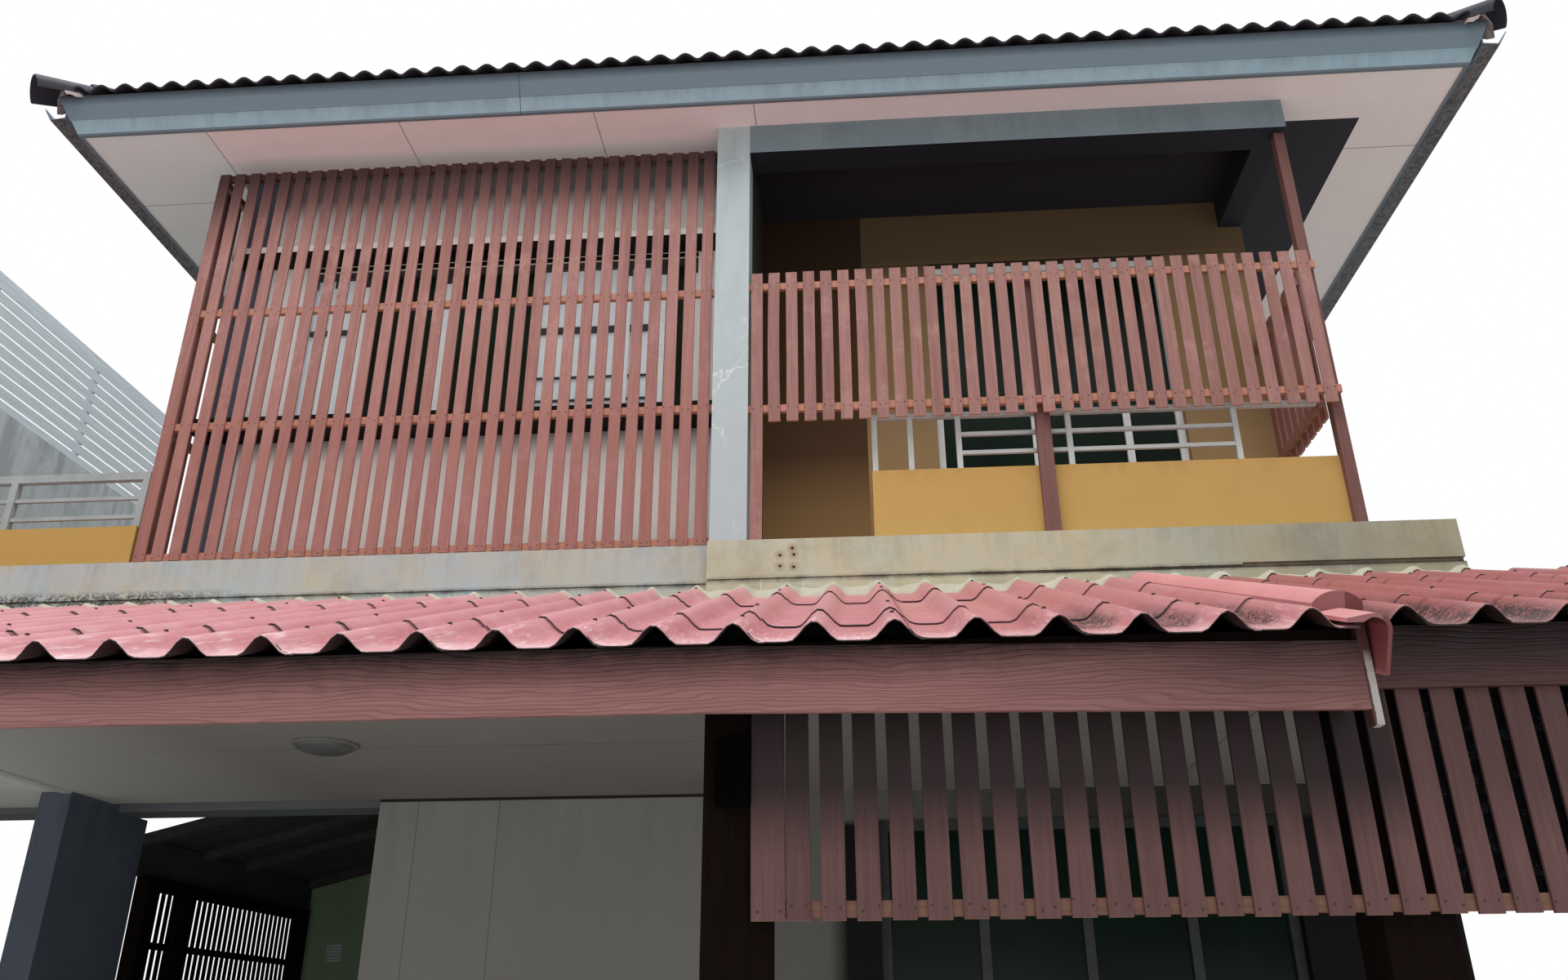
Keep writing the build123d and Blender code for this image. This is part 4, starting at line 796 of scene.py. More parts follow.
# Black shade net behind the lower screen's right-hand bay
# A woven plastic net, drawn tight over the backs of the battens, with light showing in its meshes.
NET_LEFT = 2.196
NET_RIGHT = 3.920
NET_TOP = 2.490
NET_BOTTOM = 1.856


def shell_quads(rows, columns, count=1):
    """Quads of closed shells: an upper and a lower grid of rows by columns, joined round the rim.

    Along a row comes first and along a column second; their cross product points outwards."""
    i, j = np.meshgrid(np.arange(rows - 1), np.arange(columns - 1), indexing="ij")
    a = (i * columns + j).ravel()
    over = np.stack([a, a + 1, a + columns + 1, a + columns], 1)
    layer = rows * columns
    rim = np.concatenate([np.arange(columns - 1), np.arange(1, rows) * columns - 1,
                          layer - 1 - np.arange(columns - 1), np.arange(rows - 1, 0, -1) * columns])
    onward = np.roll(rim, -1)
    side = np.stack([rim, rim + layer, onward + layer, onward], 1)
    shell = np.concatenate([over, over[:, ::-1] + layer, side])
    return (shell[None] + (2 * layer * np.arange(count))[:, None, None]).reshape(-1, 4)


net_coat = Coat("shade_net", (26, 24, 26), 0.9, 0.1)
net_cells = add(net_coat.tree, "TexVoronoi", {0: net_coat.at, "Scale": 190.0, "Randomness": 0.5})
# The pale specks in the meshes are painted light.
net_light = Mask(net_coat.tree, net_cells.outputs[0]).ramp(0.18, 0.30, 1, 0)
net_patches = noise(net_coat.tree, net_coat.at, 26.0).ramp(0.5, 0.62)
net_coat.lay((net_light * net_patches, (110, 104, 104)))
net_u, net_v = np.meshgrid(np.linspace(NET_LEFT, NET_RIGHT, 24),
                           np.linspace(NET_BOTTOM, NET_TOP, 10))
net_slack = 0.0006 * np.sin(9 * net_u) * np.sin(5 * net_v)
net_points = np.concatenate([spots(net_u, lower_high.y - depth + net_slack, net_v).reshape(-1, 3)
                             for depth in (0.0022, 0.0008)])
shade_net = mesh_piece("shade_net", net_points, shell_quads(10, 24), net_coat.done(),
                       "lower_slat_paint", smooth=True, sharp=60)
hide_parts("lower_slat_screen")


# Bars across the panes of the window behind the tall screen
# Painted flat steel, fixed across the paler panes inside the window's frame: level, thin, dark.
BAR_Y = 0.356
# Left and right end, level and height of each bar
WINDOW_BARS = ((-2.84, -2.53, 5.590, 0.035), (-1.37, -0.62, 5.540, 0.045),
               (-1.37, -0.62, 5.205, 0.014), (-1.37, -0.62, 5.047, 0.014))
bar_left, bar_right, bar_level, bar_height = np.array(WINDOW_BARS).T
boards("window_bars", spots(bar_left, BAR_Y, bar_level), spots(bar_right, BAR_Y, bar_level),
       (0, 0, 1), bar_height, 0.012, coated_metal("bar_paint", (44, 46, 50), (70, 70, 72)),
       "white_frame", bow=0, rows=2, seed=21)


# Small lattice vent in the wall at the end of the side passage
# A cast frame with crossed bars, set on the green wall.
vent_left, vent_right, vent_low, vent_high = (-3.128, -3.034, 2.024, 2.122)
VENT_BAR = 0.010
VENT_Y = 2.596
CROSS_BARS_Y = VENT_Y - 0.002
vent_x = np.linspace(vent_left, vent_right, 6)
vent_z = np.linspace(vent_low, vent_high, 6)
vent_starts = np.concatenate([spots(vent_x, VENT_Y, vent_low),
                              spots(vent_left, CROSS_BARS_Y, vent_z)])
vent_ends = np.concatenate([spots(vent_x, VENT_Y, vent_high),
                            spots(vent_right, CROSS_BARS_Y, vent_z)])
boards("passage_vent", vent_starts, vent_ends, np.repeat([[1, 0, 0], [0, 0, 1]], 6, axis=0),
       VENT_BAR, 0.012, painted_wall("vent_cast", (190, 196, 190), (150, 156, 150), 2.2),
       "green_render", bow=0, rows=2, seed=23)


# Soffit, ceilings and fascias
# Flat boards with thin joints under the eaves, painted, and grained boards along the eaves.
FASCIA_JOINT = -1.41
# Painted shade: a dark patch on the soffit between the tall screen and the wall.
dress(painted_wall("soffit_board", (220, 232, 230), (222, 212, 210), -1.0, 0.1,
                   ((X, -3.417), (X, -2.188), (X, -0.967), (X, 0.019), (Y, 0.43)),
                   other=(X, -3.417, (238, 228, 226)),
                   panels=(((X, -3.42, -0.02), (Y, 0.19, 0.40), 0.85, (40, 32, 32)),)), "soffit")
dress(painted_wall("dark_ceiling", (46, 44, 50), (34, 33, 38), -1.0, 0.1, ((X, 1.3),)),
      "balcony_ceiling")
# Painted light: the ceiling pales towards its open left end, and left of x = -3.241 its pale cream
# is partly the board's own colour and partly painted light.
dress(painted_wall("carport_board", (226, 224, 208), (128, 122, 116), -1.0, 0.1,
                   ((X, 2.0), (Y, -1.2)), other=(X, -3.241, (142, 137, 132)),
                   films=((X, -2.0, -3.2, 0.6, (224, 224, 220)),)), "carport_ceiling")


def eave_paint():
    """Painted eave boards, grained: darker above the step between the boards, paler below.

    The upper board's darker tone is painted shade under the tiles, and also colours its dirt clouds
    and streaks. Painted shade darkens the lowest 12 mm along the board's foot and the top 50 mm."""
    foot, top = (corner.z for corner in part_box("eave_fascia"))
    step = foot + 0.090
    upper = (118, 136, 149)
    coat = Coat("eave_board", (157, 183, 195), 0.6, 0.35)
    x, y, z = coat.axes()
    # Painted shade: the upper tone, which also colours the dirt, the dark foot and the dark top.
    coat.lay((z.ramp(step - 0.001, step + 0.001), upper),
             (coat.effect(blotches, Scale=1.1)[1].ramp(0.4, 0.7, 0, 0.3), upper),
             (coat.effect(drips, Top=step, Length=0.2, Across=14.0)[0] * 0.35, upper),
             (z.ramp(foot + 0.010, foot + 0.014, 1, 0), (104, 116, 124)),
             (x.near(FASCIA_JOINT, 0.002), (60, 62, 66)),
             (z.ramp(top - 0.055, top - 0.005, 0, 0.85), (38, 42, 48)))
    return coat.done(coat.effect(wood_grain, Along=LEVEL)[0], 0.0008)


dress(eave_paint(), "eave_fascia")

# The grain pressed into the lean-to's fascia boards: flowing lines, closer where noise bends them
PRESSED_LINES = 75.0
LINE_SWAY = 9.0


def pressed_fascia():
    """Red-brown paint on a board with a pressed grain: sin of height plus noise, dark in furrows.

    The right-hand board stands back in the shade and is painted darker as shade; painted shade also
    darkens the tops of the boards under the tiles, lower down on the right."""
    coat = Coat("fascia_board", (154, 106, 104), 0.6, 0.4)
    x, y, z = coat.axes()
    sway = noise(coat.tree, coat.drawn(x * 1.3, 0.0, z * 9.0), 1.0, 3.0, 0.55)
    lines = z * (PRESSED_LINES * math.tau) + sway * (LINE_SWAY * math.tau)
    furrow = lines.step("SINE").ramp(-1, -0.2, 1, 0)
    grain = coat.effect(wood_grain, Along=(1.6, 40, 40))[0]
    # Painted shade under the tiles, ragged, growing towards the top; on the right it starts lower.
    ragged = z + coat.effect(blotches, Scale=2.5)[1] * 0.06
    right_painted_shade = ragged.ramp(2.40, 2.62, 0.25, 0.95) * x.ramp(0.7, 1.7)
    film = ragged.ramp(2.50, 2.63, 0, 0.97).most(right_painted_shade)
    coat.lay((grain.ramp(0.3, 0.7), (174, 124, 121)),
             (coat.effect(blotches, Scale=1.4)[0].ramp(0, 1, 0, 0.25), (142, 94, 90)),
             (furrow * 0.30, (96, 58, 56)),
             # Painted shade on the right-hand board, which stands back.
             (y.ramp(-2.50, -2.45) * 0.60, (56, 22, 18)),
             (film, (34, 18, 20)))
    return coat.done(grain * 0.4 - furrow, 0.0014, 0.8)


dress(pressed_fascia(), "lean_to_fascia")


# Lean-to roof of wave-profile tiles
# Pressed fibre-cement tiles two waves wide, painted red, in three lapped courses, screwed down
# through every second crest.
WAVE_PITCH = 0.2351
WAVE_HEIGHT = 0.058
WAVE_WIDTH = 0.150
SHEET = 0.006
COURSE_LIFT = 0.007
RISE = 0.3958
SLOPE = math.atan(RISE)
EAVE_Y = -2.607
EAVE_Z = 2.587
TOP_Y = -0.064
LAPS = (0.0, 0.54, 1.93)
LAP = 0.06
FIRST_CREST = -1.9176
RIGHT_FIRST_CREST = 1.935
RIGHT_SET_BACK = 0.15
RIGHT_DROP = 0.010
VERGE = 1.976
RIGHT_START = 2.062
SIDE_LAP_AT = 1.18
SIDE_LAP = 0.05
SIDE_LIFT = 0.007
SIDE_LIFT_WIDTH = 0.06

up_slope = np.array([0, math.cos(SLOPE), math.sin(SLOPE)])
off_slope = np.array([0, -math.sin(SLOPE), math.cos(SLOPE)])


def wave_height(x, first_crest):
    """Height of a tile over its pans: (1 + cos) / 2 over each crest's width, and 0 in the pans."""
    from_crest = (x - first_crest + WAVE_PITCH / 2) % WAVE_PITCH - WAVE_PITCH / 2
    turn = 2 * math.pi * np.clip(from_crest / WAVE_WIDTH, -0.5, 0.5)
    return WAVE_HEIGHT * (0.5 + 0.5 * np.cos(turn))


def wave_tiles(x0, x1, first_crest, eave_y, eave_z, seed, columns=29):
    """Points, faces, tones and lengths from the foot of lapped tiles, each a closed shell.

    The arrays run over courses, tiles, upper and lower face, points up the slope and points
    across. A tile's height off the slope is the wave, a lift for its course, and a lift of its
    left edge that falls off within 60 mm, where it lies over its neighbour; its place varies."""
    rng = np.random.default_rng(seed)
    total = (TOP_Y - eave_y) / math.cos(SLOPE)
    edge = first_crest + WAVE_PITCH * (SIDE_LAP_AT + 2 * np.arange(-20, 20))
    edge = edge[(edge > x0 + 0.03) & (edge < x1 - 0.03)]
    left = np.concatenate([[x0], edge])[:, None, None, None]
    right_edge = np.concatenate([edge + SIDE_LAP, [x1]])[:, None, None, None]
    starts = np.array(LAPS)
    ends = np.minimum(total, np.array(LAPS[1:] + (total,)) + np.array([LAP, LAP, 0]))
    shape = (len(starts), len(left), 1, 1, 1)
    slip = rng.normal(0, 0.003, shape)
    rock = np.abs(rng.normal(0, 0.0012, shape))
    x = left + (right_edge - left) * np.linspace(0, 1, columns)
    t0, t1 = starts[:, None, None, None, None] + slip, ends[:, None, None, None, None]
    share = np.array([0, 0.006, 0.5, 1])[:, None]
    t = t0 + (t1 - t0) * share
    side = SIDE_LIFT * np.clip(1 - (x - left) / SIDE_LIFT_WIDTH, 0, 1)
    side[0] = 0
    layer = np.array([[0.55, 1, 1, 1], [0, 0, 0, 0]])[:, :, None] * SHEET
    course = np.arange(len(starts))[:, None, None, None, None]
    n = wave_height(x, first_crest) + COURSE_LIFT * course + side + rock * (1 - share) + layer
    x, t, n = (values[..., None] for values in np.broadcast_arrays(x, t, n))
    points = np.array([0, eave_y, eave_z]) + x * np.array([1, 0, 0]) + t * up_slope + n * off_slope
    tone = np.broadcast_to(rng.uniform(0, 1, shape), n.shape[:-1]).ravel()
    up = np.broadcast_to(t[..., 0] - t0, n.shape[:-1]).ravel()
    return points.reshape(-1, 3), shell_quads(4, columns, len(starts) * len(left)), tone, up


def tile_red():
    """Red paint on pressed tiles: paler crests, pale runs at the eave, painted shade at the laps and
    on faces that look down, dirty pans.

    along is the distance up the slope from the eave, and over the height off the slope."""
    coat = Coat("lean_to_sheet", (188, 118, 124), 0.42, 0.5)
    x, y, z = coat.axes()
    along = (y - EAVE_Y) * math.cos(SLOPE) + (z - EAVE_Z) * math.sin(SLOPE)
    over = (z - EAVE_Z) * math.cos(SLOPE) - (y - EAVE_Y) * math.sin(SLOPE)
    cloud = coat.effect(blotches, Scale=1.3)
    fine = coat.effect(blotches, Scale=6.0)
    runs = noise(coat.tree, coat.drawn(x * 110.0, along * 7.0), 1.0, 3.0, 0.6).ramp(0.52, 0.70)
    settled = along.ramp(0.04, 0.22, 0.55, 0) * over.ramp(0.012, 0.035, 1, 0)
    painted_shadow_band = 0.0
    # Painted shadow, with some dirt, on each course just below the foot of the course above.
    for lap in LAPS[1:]:
        painted_shadow_band = along.near(lap - 0.012, 0.012, 0.8).most(painted_shadow_band)
    # Painted shade on the tiles' cut front edges: dark on the upper courses, and at the eave paler
    # in the pans, darker under the crests.
    foot = coat.carried("up_tile").ramp(0.0006, 0.0016, 1, 0)
    foot_tone = coat.mix(over.ramp(0.020, 0.040), (116, 72, 76), (84, 42, 46))
    low_part = along.ramp(0.10, 0.20) * along.ramp(0.5, 1.1, 1, 0.1)
    litter = coat.effect(blotches, Scale=9.0)[1].ramp(0.44, 0.50)
    dirt = over.ramp(0.022, 0.050, 1, 0) * x.ramp(1.05, 1.20) * (low_part * litter)
    coat.lay((cloud[0], (201, 140, 146)),
             (coat.carried("board") * 0.35, (172, 100, 106)),
             (over.ramp(0.030, 0.066, 0, 0.30), (217, 167, 171)),
             (fine[0].ramp(0.5, 1, 0, 0.30), (212, 170, 172)),
             (runs * (along.ramp(0.10, 0.40, 0.65, 0) + 0.10), (236, 212, 212)),
             (settled * cloud[1].ramp(0.40, 0.60, 0.3, 1), (232, 204, 206)),
             (painted_shadow_band * 0.8, (60, 26, 30)),
             (foot * along.ramp(0.3, 0.31) * 0.9, (66, 30, 33)),
             (foot * along.ramp(0.3, 0.31, 1, 0) * 0.9, foot_tone),
             (x.ramp(0.3, 1.2, 0, 0.34), (150, 82, 78)),
             (x.ramp(1.98, 2.06, 0, 0.50), (128, 62, 54)),
             (dirt * 0.95, (44, 38, 38)),
             # Painted shade on the faces that look down.
             (coat.facing(Z).ramp(-0.3, -0.1, 0.92, 0), (40, 32, 31)))
    plug(coat.tree, coat.shader.inputs["Roughness"], fine[1].ramp(0.3, 0.7, 0.34, 0.55))
    return coat.done(fine[1] + dirt, 0.0010)


lean_low, lean_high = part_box("lean_to_roof")
red_paint = tile_red()
right_eave_y = EAVE_Y + RIGHT_SET_BACK
right_eave_z = EAVE_Z + RIGHT_SET_BACK * math.tan(SLOPE) - RIGHT_DROP
for side, x0, x1, first_crest, eave_y, eave_z, seed in (
        ("left", lean_low.x, VERGE, FIRST_CREST, EAVE_Y, EAVE_Z, 31),
        ("right", RIGHT_START, lean_high.x, RIGHT_FIRST_CREST, right_eave_y, right_eave_z, 32)):
    points, faces, tone, up = wave_tiles(x0, x1, first_crest, eave_y, eave_z, seed)
    tiles = mesh_piece("lean_to_tiles_" + side, points, faces, red_paint, "lean_to_sheet",
                       smooth=True, sharp=40, board=tone, up_tile=up)
    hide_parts("lean_to_roof")

SCREW_AT = (0.30, 0.86, 2.10, 2.69)
crest_x = FIRST_CREST + WAVE_PITCH * (1 + 2 * np.arange(-9, 9))
crest_x = crest_x[(crest_x > lean_low.x + 0.05) & (crest_x < VERGE - 0.08)]
right_crest_x = RIGHT_FIRST_CREST + WAVE_PITCH * (1 + 2 * np.arange(0, 5))
right_crest_x = right_crest_x[right_crest_x < lean_high.x - 0.05]
screw_lift = WAVE_HEIGHT + SHEET + COURSE_LIFT * np.array([0, 1, 2, 2])
screws = []
for row_x, eave_y, eave_z in ((crest_x, EAVE_Y, EAVE_Z),
                              (right_crest_x, right_eave_y, right_eave_z)):
    along = np.minimum(SCREW_AT, (TOP_Y - eave_y) / math.cos(SLOPE) - 0.05)[:, None]
    row = np.array([0, eave_y, eave_z]) + along * up_slope + screw_lift[:, None] * off_slope
    screws.append((row[None] + row_x[:, None, None] * np.array([1, 0, 0])).reshape(-1, 3))
heads("lean_to_screws", np.concatenate(screws), off_slope, 0.008, 0.005, nail_steel,
      "lean_to_sheet")


# Mortar along the top of the lean-to roof
# Cement mortar trowelled over the joint between the last course of tiles and the edge beams.
MORTAR_FRONT = -0.112
BEAM_STEP_X = -0.230
RIGHT_BEAM_FACE = -0.0605
LEFT_BEAM_FACE = -0.0005
KNOT_STEP = 0.055


def joint_mortar(x0, x1, first_crest, seed):
    """A strip whose front foot lies on the tiles and whose back climbs the beam.

    At each x its height over the pans is the wave at the foot, and 0.45 of the wave plus 45 mm
    and a slow noise at the back."""
    rng = np.random.default_rng(seed)
    x = np.arange(x0, x1, 0.011)
    knots = np.arange(x0, x1 + 0.06, KNOT_STEP)
    wobble = np.interp(x, knots, rng.normal(0, 0.006, int((x1 - x0) / KNOT_STEP) + 3)[:len(knots)])
    wave = wave_height(x, first_crest) / math.cos(SLOPE)
    front = np.array([MORTAR_FRONT, MORTAR_FRONT + 0.012, TOP_Y])[:, None]
    pan = EAVE_Z + (front - EAVE_Y) * math.tan(SLOPE) + 0.021
    face = np.where(x < BEAM_STEP_X, LEFT_BEAM_FACE, RIGHT_BEAM_FACE)
    y = np.stack([MORTAR_FRONT + wobble, MORTAR_FRONT + 0.012 + wobble, face])
    z = np.stack([pan[0] + wave, pan[1] + wave + 0.013, pan[2] + 0.45 * wave + 0.045 + wobble])
    over = spots(x, y, z)
    under = over - np.array([0, 0, 1]) * np.array([0.004, 0.016, 0.05])[:, None, None]
    return np.concatenate([over.reshape(-1, 3), under.reshape(-1, 3)]), shell_quads(3, len(x))


mortar = concrete("mortar", (198, 196, 180), (186, 182, 162), (128, 124, 110), 3.8, 0.2)
beam_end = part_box("edge_beam_right")[1].x
for side, x0, x1, first_crest in (("left", lean_low.x + 0.001, 1.925, FIRST_CREST),
                                  ("right", RIGHT_START + 0.03, beam_end, RIGHT_FIRST_CREST)):
    points, faces = joint_mortar(x0, x1, first_crest, 41)
    mesh_piece("lean_to_mortar_" + side, points, faces, mortar, "ledge_concrete", smooth=True,
               sharp=60)


# Verge between the two lean-to roofs
# Arched red cap tiles over the step, a barge tile turned down over the fascia's end, and mortar.

# Where the flange hangs down, the middle of the mortar strip beside it, and the strip's front
FLANGE_X = 2.028
STRIP_X = 2.010
STRIP_FRONT = -2.398


def verge_paint():
    """Red barge tiles: painted highlight on top, painted shade below, darker on the hanging flange;
    pale mortar below and behind, with painted shade at its top and left edge.
    """
    coat = Coat("verge_paint", (196, 128, 130), 0.55, 0.4)
    x, y, z = coat.axes()
    cloud, fine = coat.effect(blotches, Scale=3.0)
    up = coat.facing(Z)
    coat.lay((cloud, (206, 140, 142)), (up.ramp(0.86, 0.97, 0, 0.35), (214, 164, 166)),
             (x.ramp(FLANGE_X - 0.002, FLANGE_X + 0.002) * up.ramp(0.2, 0.5, 1, 0) * 0.9,
              (136, 66, 66)),
             (up.ramp(-0.5, -0.2, 0.85, 0), (84, 46, 46)))
    below_slope = (y * RISE - z).ramp(-3.640, -3.634)
    in_front = y.ramp(STRIP_FRONT - 0.001, STRIP_FRONT + 0.001, 1, 0)
    strip = x.near(STRIP_X, 0.0145, 0.02) * (in_front * below_slope)
    shadowed = (fine * 0.10 + z).ramp(2.565, 2.600)
    narrow = (x + fine * 0.012).ramp(STRIP_X - 0.0015, STRIP_X + 0.0005, 1, 0)
    pale = coat.mix(fine, (204, 196, 192), (164, 154, 150))
    coat.lay((strip, coat.mix(shadowed.most(narrow), pale, (78, 50, 48))))
    return coat.done(fine, 0.002)


dress(verge_paint(), "lean_to_verge_cap")


# Main roof tiles
# Wave-profile concrete tiles in lapped courses on a hip roof; each foot stands a tile's thickness
# over the tile below.
TILE_PITCH = 0.153
TILE_WAVE = 0.038
TILE_THICKNESS = 0.012
TILE_TILT = 0.010
COURSE = 0.32
COURSE_OVERLAP = 0.04
ROOF_PITCH = math.radians(25)
LAYER = TILE_WAVE + TILE_THICKNESS + TILE_TILT
BED_DROP = LAYER * math.tan(ROOF_PITCH) * math.sin(ROOF_PITCH)
roof_low, roof_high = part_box("main_roof")
half_x = (roof_high.x - roof_low.x) / 2
half_y = (roof_high.y - roof_low.y) / 2
middle_x = (roof_low.x + roof_high.x) / 2
middle_y = (roof_low.y + roof_high.y) / 2


def tile_courses(half_eave, turn, reach):
    """Courses of one slope, cut off at its two hips, as a bmesh in place.

    Along the eave s and up the slope t, height off the bed = wave(s) + tilt at the foot, where
    wave = (1 - cos) / 2 to the power 0.75; the hips are vertical planes at 45 degrees."""
    slope_length = half_y / math.cos(ROOF_PITCH)
    rows = int(math.ceil(slope_length / COURSE))
    columns = int(round(2 * half_eave / TILE_PITCH * 8)) + 1
    s = np.linspace(-half_eave, half_eave, columns)
    wave = TILE_WAVE * (0.5 - 0.5 * np.cos(2 * math.pi * s / TILE_PITCH)) ** 0.75
    foot = np.arange(rows) * COURSE
    head = np.minimum(foot + COURSE + COURSE_OVERLAP, slope_length)
    t = np.stack([foot, head], 1)[:, None, :, None]
    lift = np.array([TILE_TILT, 0])[:, None] + np.array([TILE_THICKNESS, 0])[:, None, None] + wave
    out = t * math.cos(ROOF_PITCH) - (lift - LAYER) * math.sin(ROOF_PITCH)
    rise = t * math.sin(ROOF_PITCH) + lift * math.cos(ROOF_PITCH) + BED_DROP
    slope = bmesh.new()
    mesh = bpy.data.meshes.new("slope")
    mesh.from_pydata(spots(s, out - reach, rise).reshape(-1, 3).tolist(), [],
                     shell_quads(2, columns, rows).tolist())
    slope.from_mesh(mesh)
    bpy.data.meshes.remove(mesh)
    for sign in (-1, 1):
        geometry = slope.verts[:] + slope.edges[:] + slope.faces[:]
        cut = bmesh.ops.bisect_plane(slope, geom=geometry, plane_co=(sign * half_eave, -reach, 0),
                                     plane_no=(sign, 1, 0), clear_outer=True)["geom_cut"]
        rim = [piece for piece in cut if isinstance(piece, bmesh.types.BMEdge)]
        bmesh.ops.holes_fill(slope, edges=rim, sides=0)
    centre = Vector((middle_x, middle_y, roof_low.z - BED_DROP))
    slope.transform(Matrix.Translation(centre) @ Matrix.Rotation(turn, 4, "Z"))
    return slope


def tile_paint(name, light, dark, lichen):
    """Matt tile colour in clouds, with lichen: paler blue-grey on the crests as a painted highlight,
    and dark on the cut ends as painted shade.
    """
    coat = Coat(name, dark, 0.85, 0.25)
    fine = coat.effect(blotches, Scale=9.0)[1]
    up = coat.facing(Z)
    coat.lay((coat.effect(blotches, Scale=1.0)[0], light),
             (up.ramp(0.90, 0.99, 0, 0.4), (142, 146, 158)),
             (up.ramp(0.1, 0.4, 0.8, 0), (44, 44, 52)),
             (fine.ramp(0.5, 0.7, 0, 0.6), lichen))
    return coat.done(fine, 0.002)


tile_finish = tile_paint("roof_tile", (110, 106, 108), (74, 75, 80), (60, 62, 66))
for label, half, turn, reach in (
        ("front", half_x, 0, half_y), ("right", half_y, math.pi / 2, half_x),
        ("back", half_x, math.pi, half_y), ("left", half_y, -math.pi / 2, half_x)):
    slope = tile_courses(half, turn, reach)
    mesh = bpy.data.meshes.new("roof_tiles_" + label)
    slope.to_mesh(mesh)
    slope.free()
    mesh.polygons.foreach_set("use_smooth", np.full(len(mesh.polygons), True))
    mesh.set_sharp_from_angle(angle=math.radians(40))
    mesh.materials.append(tile_finish)
    tiles = bpy.data.objects.new("roof_tiles_" + label, mesh)
    scene.collection.objects.link(tiles)
    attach(tiles, "root")
    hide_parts("main_roof")


# Cap tiles of the hips and the ridge
# Half-round concrete caps, each lapped over the next below, bedded in pale mortar on the tiles.
CAP_RADIUS = 0.106
CAP_HEAD_RADIUS = 0.088
CAP_THICKNESS = 0.014
CAP_STEP = 0.315
CAP_LENGTH = 0.365
CAP_SINK = 0.052
CAP_ENDS = (0.085, 0.010, 0.008, 0.009)
CAP_SWEEP = math.radians(104)
BED_FOOT = 0.104
BED_SHOULDER = 0.074
BED_FOOT_LEVEL = -0.046

hip_low = roof_low.z + LAYER * math.cos(ROOF_PITCH) - CAP_SINK
hip_high = hip_low + half_y * math.tan(ROOF_PITCH)
ridge_ends = [np.array([middle_x + sign * (half_x - half_y), middle_y, hip_high])
              for sign in (-1, 1)]
hips = [(np.array([middle_x + sx * half_x, middle_y + sy * half_y, hip_low]),
         ridge_ends[(sx + 1) // 2]) for sx in (-1, 1) for sy in (-1, 1)]


def bar_frame(start, end):
    """Length of a bar and its unit vectors: along it, level across it, and up off it."""
    length = np.linalg.norm(end - start)
    along = (end - start) / length
    across = np.cross(along, (0, 0, 1))
    across /= np.linalg.norm(across)
    return length, along, across, np.cross(across, along)


def cap_row(start, end, beyond):
    """Lapped half-round caps from beyond the start to the end: radius falls from foot to head.

    Point = start + t along + r (sin a across + cos a up), for angles a from -104 to 104 degrees."""
    length, along, across, off = bar_frame(start, end)
    count = int(round((length + beyond) / CAP_STEP))
    step = (length + beyond) / count
    t = -beyond + step * np.arange(count)[:, None] + np.array([0, 0.010, CAP_LENGTH])[None, :]
    t = np.minimum(t, length)[:, None, :, None]
    inner = CAP_RADIUS - CAP_THICKNESS
    radius = np.array([[CAP_RADIUS - 0.004, CAP_RADIUS, CAP_HEAD_RADIUS],
                       [inner, inner, CAP_HEAD_RADIUS - CAP_THICKNESS]])[:, :, None]
    t, radius, a = np.broadcast_arrays(t, radius, np.linspace(-CAP_SWEEP, CAP_SWEEP, 15))
    points = (start + t[..., None] * along + (radius * np.sin(a))[..., None] * across
              + (radius * np.cos(a))[..., None] * off)
    return points.reshape(-1, 3), shell_quads(3, 15, count)


def cap_mortar(start, end, beyond, seed):
    """Mortar bed under a row of caps: a low ridge whose two feet wander over the tiles."""
    rng = np.random.default_rng(seed)
    length, along, across, off = bar_frame(start, end)
    t = np.arange(-beyond, length, 0.03)
    foot = BED_FOOT + rng.uniform(-0.010, 0.016, (2, len(t)))
    shoulder = np.full(len(t), BED_SHOULDER)
    side = np.stack([-foot[0], -shoulder, shoulder, foot[1]], 1)
    left_level, right_level = BED_FOOT_LEVEL + rng.normal(0, 0.008, (2, len(t)))
    crown = np.full(len(t), 0.010)
    level = np.stack([left_level, crown, crown, right_level], 1)
    line = start + t[:, None, None] * along + side[..., None] * across
    points = [line + (level + drop)[..., None] * off for drop in (0, -0.016)]
    return np.concatenate([p.reshape(-1, 3) for p in points]), shell_quads(len(t), 4)


def joined(forms):
    """Points and faces of several forms as one."""
    first = np.cumsum([0] + [len(points) for points, faces in forms])
    return (np.concatenate([points for points, faces in forms]),
            np.concatenate([faces + start for (points, faces), start in zip(forms, first)]))


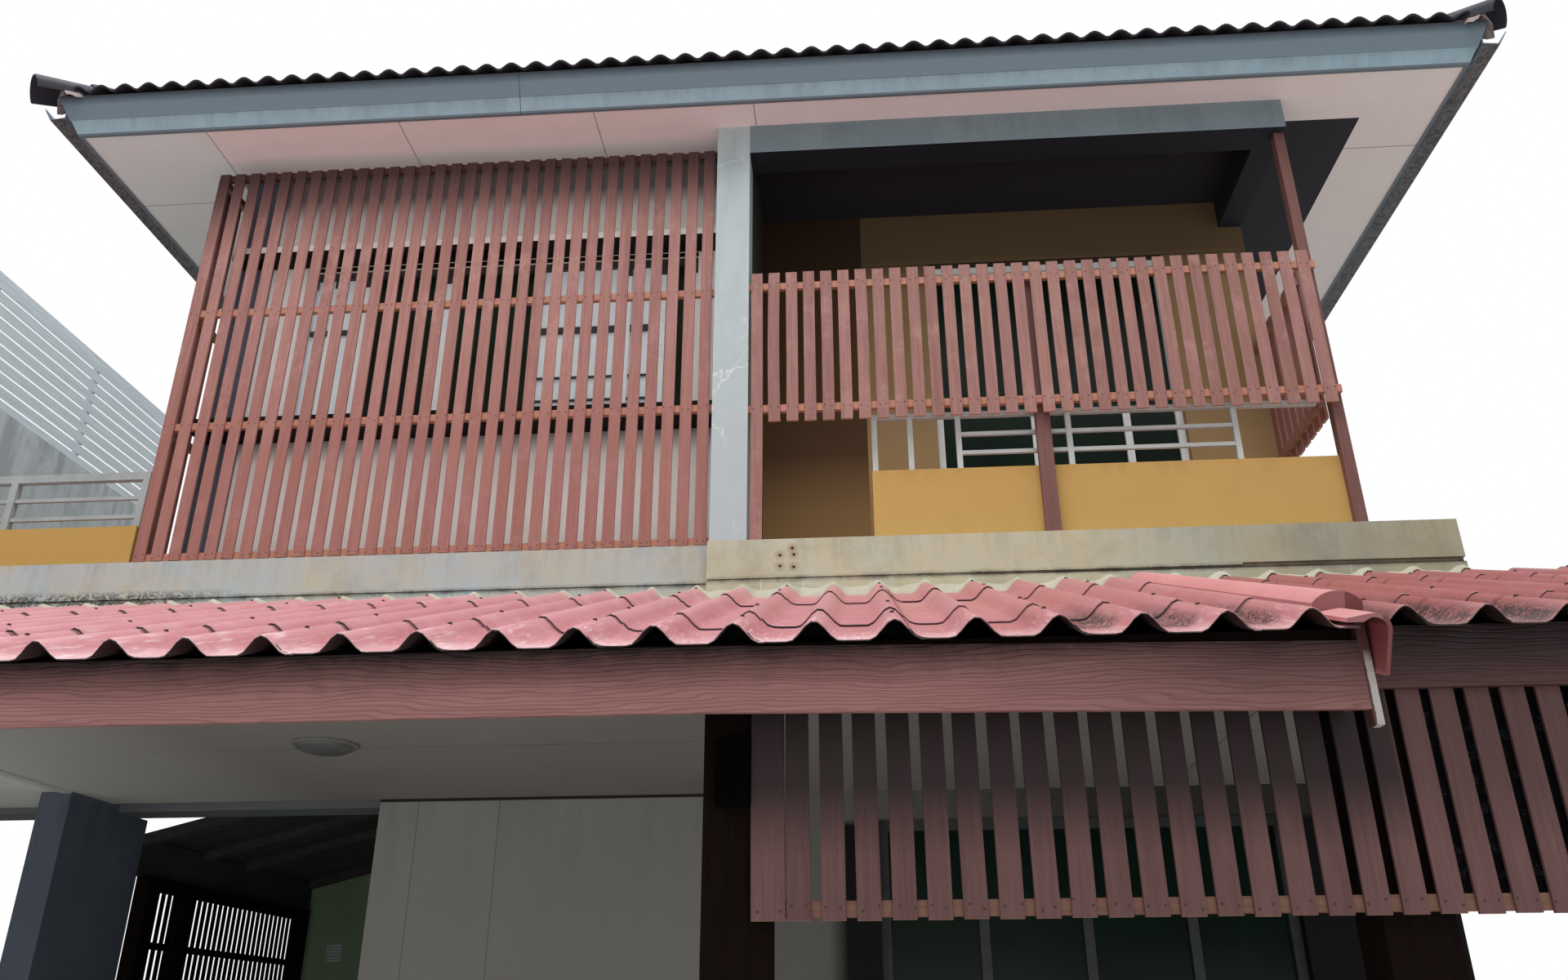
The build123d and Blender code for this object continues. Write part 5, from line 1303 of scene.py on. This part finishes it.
lines = hips + [tuple(ridge_ends)]
cap_points, cap_faces = joined([cap_row(start, end, beyond)
                                for (start, end), beyond in zip(lines, CAP_ENDS + (0.0,))])
bed_points, bed_faces = joined([cap_mortar(start, end, -0.06, 50 + number)
                                for number, (start, end) in enumerate(lines)])
cap_finish = tile_paint("roof_cap", (104, 102, 108), (76, 78, 88), (62, 66, 74))
caps = mesh_piece("hip_and_ridge_caps", cap_points, cap_faces, cap_finish, "roof_cap", smooth=True,
                  sharp=40)
bed_mortar = concrete("bed_mortar", (176, 162, 160), (150, 136, 134), (92, 84, 84), 8.8, 0.1)
bedding = mesh_piece("cap_bedding", bed_points, bed_faces, bed_mortar, "roof_cap")
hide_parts("roof_caps")
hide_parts("roof_caps")


# Lamps
# A round opal bowl in a metal ring on the carport ceiling, and a small dark lamp on the post.

def turned(name, profile, centre, material, body_slot, steps=48):
    """A turned form: (radius, height) points of a profile carried round a vertical axis, closed."""
    radius, height = np.asarray(profile, float).T[:, :, None]
    angle = np.linspace(0, 2 * math.pi, steps, endpoint=False)
    points = spots(radius * np.cos(angle), radius * np.sin(angle), height) + np.asarray(centre)
    return mesh_piece(name, points.reshape(-1, 3), tube_faces(len(profile), steps), material,
                      body_slot, smooth=True, sharp=35)


RING_HEIGHT = 0.012
BOWL_RADIUS = 0.112
light_low, light_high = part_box("ceiling_light")
light_centre = ((light_low.x + light_high.x) / 2, (light_low.y + light_high.y) / 2, light_high.z)
ring_radius = (light_high.x - light_low.x) / 2
bowl_depth = light_high.z - light_low.z - RING_HEIGHT - 0.0025
opal = Coat("light_bowl", (98, 100, 99), 0.35, 0.5)
opal.lay((opal.effect(blotches, Scale=5.0)[0], (82, 82, 79)))
fall = np.linspace(0.02, 1, 10) * math.pi / 2
bowl_heights = -RING_HEIGHT + 0.002 - bowl_depth * np.cos(fall)
bowl_profile = np.stack([BOWL_RADIUS * np.sin(fall), bowl_heights], 1)
bowl = turned("ceiling_lamp_bowl", bowl_profile, light_centre, opal.done(), "light_bowl")
ring_profile = [(ring_radius - 0.004, -RING_HEIGHT), (ring_radius - 0.0005, -RING_HEIGHT + 0.004),
                (ring_radius - 0.0005, -0.001), (ring_radius - 0.003, -0.0002)]
ring_coat = coated_metal("lamp_ring", (122, 119, 113), (100, 98, 94))
lamp_ring = turned("ceiling_lamp_ring", ring_profile, light_centre, ring_coat, "light_bowl")
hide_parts("ceiling_light")
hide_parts("ceiling_light")
dress(coated_metal("lamp_case", (2, 2, 5), (1, 1, 3), 0.9, specular=0.06), "post_lamp")
